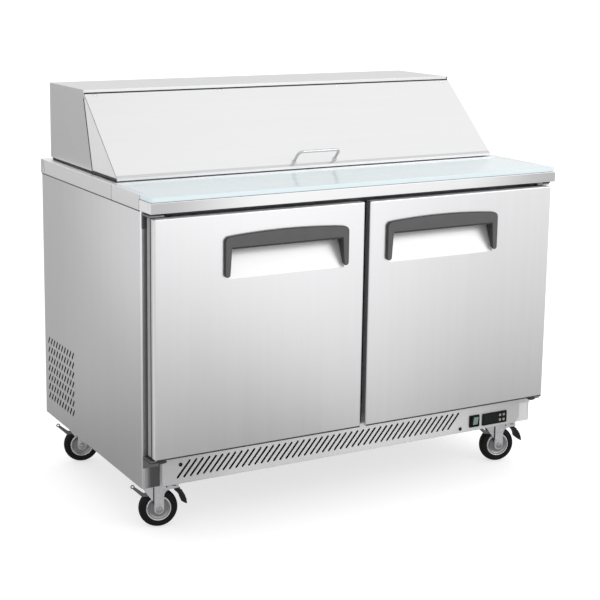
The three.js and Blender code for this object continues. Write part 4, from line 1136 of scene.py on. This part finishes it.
def fan_guard():
    """A wire guard in front of the evaporator fan."""
    y = y_at(649)
    guard = Shape()
    for radius in (16, 32, 48, 64, 72):
        guard.tube([(u, y, FAN_Z + v) for u, v in circle(radius, 40)], 1.2, 6, closed=True)
    for u, v in circle(1, 6):
        guard.tube([(12 * u, y + 1.6, FAN_Z + 12 * v), (76 * u, y + 1.6, FAN_Z + 76 * v)], 1.3, 6)
    piece("evaporator_fan_guard", guard, "rod")


wire_shelf("left", -552, -4)
wire_shelf("right", 4, 552)
shelf_supports()
fan_guard()

# ---- casters, round the swivel axis at the floor
WHEEL_X, WHEEL_Z = 14, 51
WHEEL = (WHEEL_X, 0, WHEEL_Z)
CASTER_YAW = radians(-14)
BOLT_X, BOLT_Y = 39, 29
HEX = (0, 300, 5)


def fork_shape():
    """Two pressed legs with an arm each, and the bridge between them."""
    x, half = WHEEL_X, 13
    outline = arc(x, WHEEL_Z, half, 180, 360, 12)
    outline += [(x + half, 84), (x + half + 1.2, 91.5), (x + half + 4.5, 97.5), (x + half + 10, 101.8),
                (x + half + 22, 104), (x + 50, 105.7), (x + 52, 107), (x + 52.2, 108.6), (x + 49.6, 117.4),
                (x + 47.8, 119), (-25.5, 119), (-27, 117.5), (-27, 109), (-26, 106), (x - half, 70)]
    shape = Shape()
    for low in (-20, 17):
        shape.prism(outline, "Y", low, low + 3)
    return shape.block(-27, 28, -20, 20, 116.5, 119.8)


def fork_pads():
    """The raised front of each leg: a straight fold on its near side, blending into the arm."""
    x, half = WHEEL_X, 12.2
    outline = arc(x, WHEEL_Z, half, 180, 360, 12)
    outline += [(x + half, 84), (x + half + 1.4, 92), (x + half + 5, 98.4), (x + half + 11, 102.6),
                (x + half + 22, 105), (x + 49, 107.4), (x + 46, 117.6), (x - half, 117.6)]
    shape = Shape()
    for low in (-22.6, 20):
        shape.prism(outline, "Y", low, low + 2.6)
    return shape


def fork_shade_marks():
    """Painted shade: a dark patch for a small hole in each arm, a dark slot above it, and a dark line down the leg
    beside the raised pad.
    """
    shape = Shape()
    for low, line in ((-22.9, -20.5), (22.3, 19.6)):
        shape.prism(arc(33, 112, 2.2, 0, 330, 11), "Y", low, low + 0.6)
        shape.prism(slot_outline(47, 114.6, 57, 114.2, 1.8), "Y", low, low + 0.6)
        shape.prism([(-1.6, 70), (0.9, 66), (0.9, 115.5), (-1.6, 115.5)], "Y", line, line + 0.9)
    return shape


def crown_shape():
    """The ball race's lower cup."""
    profile = [(0.01, 117), (28, 117), (29.2, 118.4), (29.4, 121), (28.6, 122.4), (29.4, 124), (29, 126.4),
               (27.6, 127.5), (0.01, 127.5)]
    return Shape().lathe(profile, (0, 0, 0), "Z", 40)


def race_shape():
    """The ball race's upper ring, which stays with the plate."""
    profile = [(0.01, 128.1), (26.4, 128.1), (28, 129.4), (28, 132), (29.5, 133.4), (0.01, 133.4)]
    return Shape().lathe(profile, (0, 0, 0), "Z", 40)


def plate_shape():
    """The top plate with its four bolt slots."""
    holes = [slot_outline(x - 2.5, y, x + 2.5, y, 8, 5) for x in (-BOLT_X, BOLT_X) for y in (-BOLT_Y, BOLT_Y)]
    return plate(rounded(-50, 50, -40, 40, 6, 4), holes, "Z", 134.2, 139.2, 0.5)


def bolts_shape():
    """Hex bolt heads that hold the plate."""
    shape = Shape()
    for x in (-BOLT_X, BOLT_X):
        for y in (-BOLT_Y, BOLT_Y):
            shape.prism(arc(x, y, 7.4, *HEX), "Z", 129.4, 134.1)
    return shape


def axle_shape():
    """The axle, with a hex head and a washer at each end."""
    profile = [(0.01, -25.6), (4.2, -25.6), (5, -24.8), (5, 24.8), (4.2, 25.6), (0.01, 25.6)]
    shape = Shape().lathe(profile, WHEEL, "Y", 24)
    for low, high in ((-25.0, -23.2), (23.2, 25.0)):
        shape.prism(arc(WHEEL_X, WHEEL_Z, 7.4, *HEX), "Y", low, high)
    for low, high in ((-23.4, -22.5), (22.5, 23.4)):
        shape.lathe([(5, low), (9.6, low), (9.6, high), (5, high)], WHEEL, "Y", 30)
    return shape


def wheel_turned(half, crown=()):
    """A wheel part from the (radius, height) profile of one side, mirrored to the other."""
    profile = [(r, -h) for r, h in half] + [*crown] + [(r, h) for r, h in reversed(half)]
    return Shape().lathe(profile, WHEEL, "Y", 72)


def tyre_shape():
    return wheel_turned([(33.4, 12.2), (35.5, 13.5), (38, 13.9), (43, 13.7), (46.6, 12.2), (49, 9.2), (50.4, 5.6),
                         (50.9, 2.6)], [(51, 0)])


def rim_shape():
    return wheel_turned([(5.6, 15.6), (11.5, 15.6), (12.5, 14.8), (12.8, 11.4), (14.5, 10.6), (22.5, 10.2), (24.5, 11),
                         (26, 12.4), (29, 12.9), (32, 12.6), (33.3, 11.8)])


def ring_shape():
    """Bright bead rings round each side of the rim."""
    shape = Shape()
    for side in (-1, 1):
        shape.lathe([(31.2 + r, side * 13.1 + h) for r, h in circle(1.1, 8)], WHEEL, "Y", 72)
    return shape


def lever_shape():
    """The steel brake lever: a strap through the fork, bent down past the wheel and up to a ring."""
    shape = Shape().block(-27, 56, -12.6, 12.6, 106.4, 111.6)
    shape.block(38.4, 49.6, -11.6, 11.6, 100.4, 106.6)
    strap = [(-54.2, 110.4), (-49.2, 115.8), (-27.0, 98.2), (-15, 96.5), (-10, 110.5), (0, 110.5), (0, 105), (-8, 86.5),
             (-30.4, 87.6)]
    return shape.prism(strap, "Y", -16.7, -14.3)


def loop_shape():
    """The ring at the end of the lever's tail."""
    ring = [(-54.4 + u, -15.5, 116.2 + v) for u, v in circle(4.0, 18)]
    return Shape().tube(ring, 1.6, 10, closed=True)


def pedal_shape():
    """The black foot pedal: a thick moulded leaf that hangs past the wheel."""
    leaf = [(53.6, 99.4), (56, 111.4), (61.5, 107.5), (66.4, 101.4), (72.6, 94.4), (78.4, 87.4), (83, 79.6),
            (86.6, 70.4), (88.6, 61), (87.6, 58.2), (80.4, 62), (73.4, 66.4), (71.6, 71.6), (70.4, 77.4),
            (67.6, 83.8), (62.4, 90.6), (57, 95.8)]
    return Shape().prism(leaf, "Y", -14.6, 14.6)


def pedal_ribs():
    """Ridges across the pedal's tread."""
    shape = Shape()
    for x, z in ((72.8, 94.6), (78.6, 87.4), (83.2, 79.4), (86.8, 70.2)):
        shape.tube([(x, -12, z), (x, 12, z)], 1.1, 8)
    return shape


# label, builder, finish, slot where it isn't the usual one, body, CAD node it stands for, rounded edge
CASTER_PARTS = (
    ("plate", plate_shape, "zinc", None, "cabinet", "caster_plate", 0),
    ("bolts", bolts_shape, "zinc", None, "cabinet", None, 0.6),
    ("race", race_shape, "zinc", None, "cabinet", None, 0),
    ("fork_legs", fork_shape, "zinc", None, "swivel", "caster_fork", 0.8),
    ("fork_pads", fork_pads, "zinc", None, "swivel", None, 1.1),
    ("fork_shade_marks", fork_shade_marks, "dark", "zinc", "swivel", None, 0),
    ("crown", crown_shape, "zinc", None, "swivel", None, 0),
    ("axle", axle_shape, "rod", "zinc", "swivel", None, 0.3),
    ("tyre", tyre_shape, "tyre", None, "wheel", "caster_wheel", 0),
    ("rim", rim_shape, "rim", None, "wheel", None, 0),
    ("bead", ring_shape, "bead", None, "wheel", None, 0),
    ("lever", lever_shape, "hinge", None, "brake", "caster_brake", 0.8),
    ("loop", loop_shape, "hinge", None, "brake", None, 0),
    ("pedal", pedal_shape, "black", None, "brake", None, 1.4),
    ("pedal_ribs", pedal_ribs, "black", None, "brake", None, 0),
)
for corner, x, depth in (("front_left", -545, 148), ("front_right", 545, 148), ("rear_left", -545, 690),
                         ("rear_right", 545, 690)):
    place = Matrix.Translation((x, y_at(depth), 0))
    for label, build, finish, slot, body, node, edge in CASTER_PARTS:
        # the race is round: it's turned with the fork, so that their facets line up
        turn = Matrix.Identity(4) if label in ("plate", "bolts") else Matrix.Rotation(CASTER_YAW, 4, "Z")
        rides = body if body == "cabinet" else f"{body}_{corner}"
        stands = [f"{node}_{corner}"] if node else []
        piece(f"{label}_{corner}", build().turned(place @ turn), finish, rides, slot, stands, edge, crease=40)

# ---- nodes that keep their CAD shape
DRESSED = {
    "base_pan": ("galvanised", 0.3), "insulated_liner": ("liner", 1.5), "front_frame": ("frame", 0.5),
    "pan_rail": ("steel_level", 0.5), "rear_hood": ("steel_hood", 1.0), "front_lid": ("steel_lid", 0.9),
    "control_housing": ("gloss", 0.3), "power_rocker": ("rocker", 0.5), "compressor": ("black", 1.0),
    "condenser_coil": ("aluminium", 0.4), "condenser_fan": ("black", 0.4), "evaporator": ("aluminium", 0.4),
    # the hinges in the hinge finish take the darker zinc copy, painted shade; the right lower hinge keeps the plain
    # zinc
    "evaporator_fan": ("frame", 0.4), "left_lower_hinge": ("hinge", 0.4), "left_upper_hinge": ("hinge", 0.4),
    "right_lower_hinge": ("zinc", 0.4), "right_upper_hinge": ("hinge", 0.4),
    **{f"controller_key_{index}": ("key", 0.3) for index in range(1, 5)},
}
for name, (finish, edge) in DRESSED.items():
    dress(name, finish, edge)
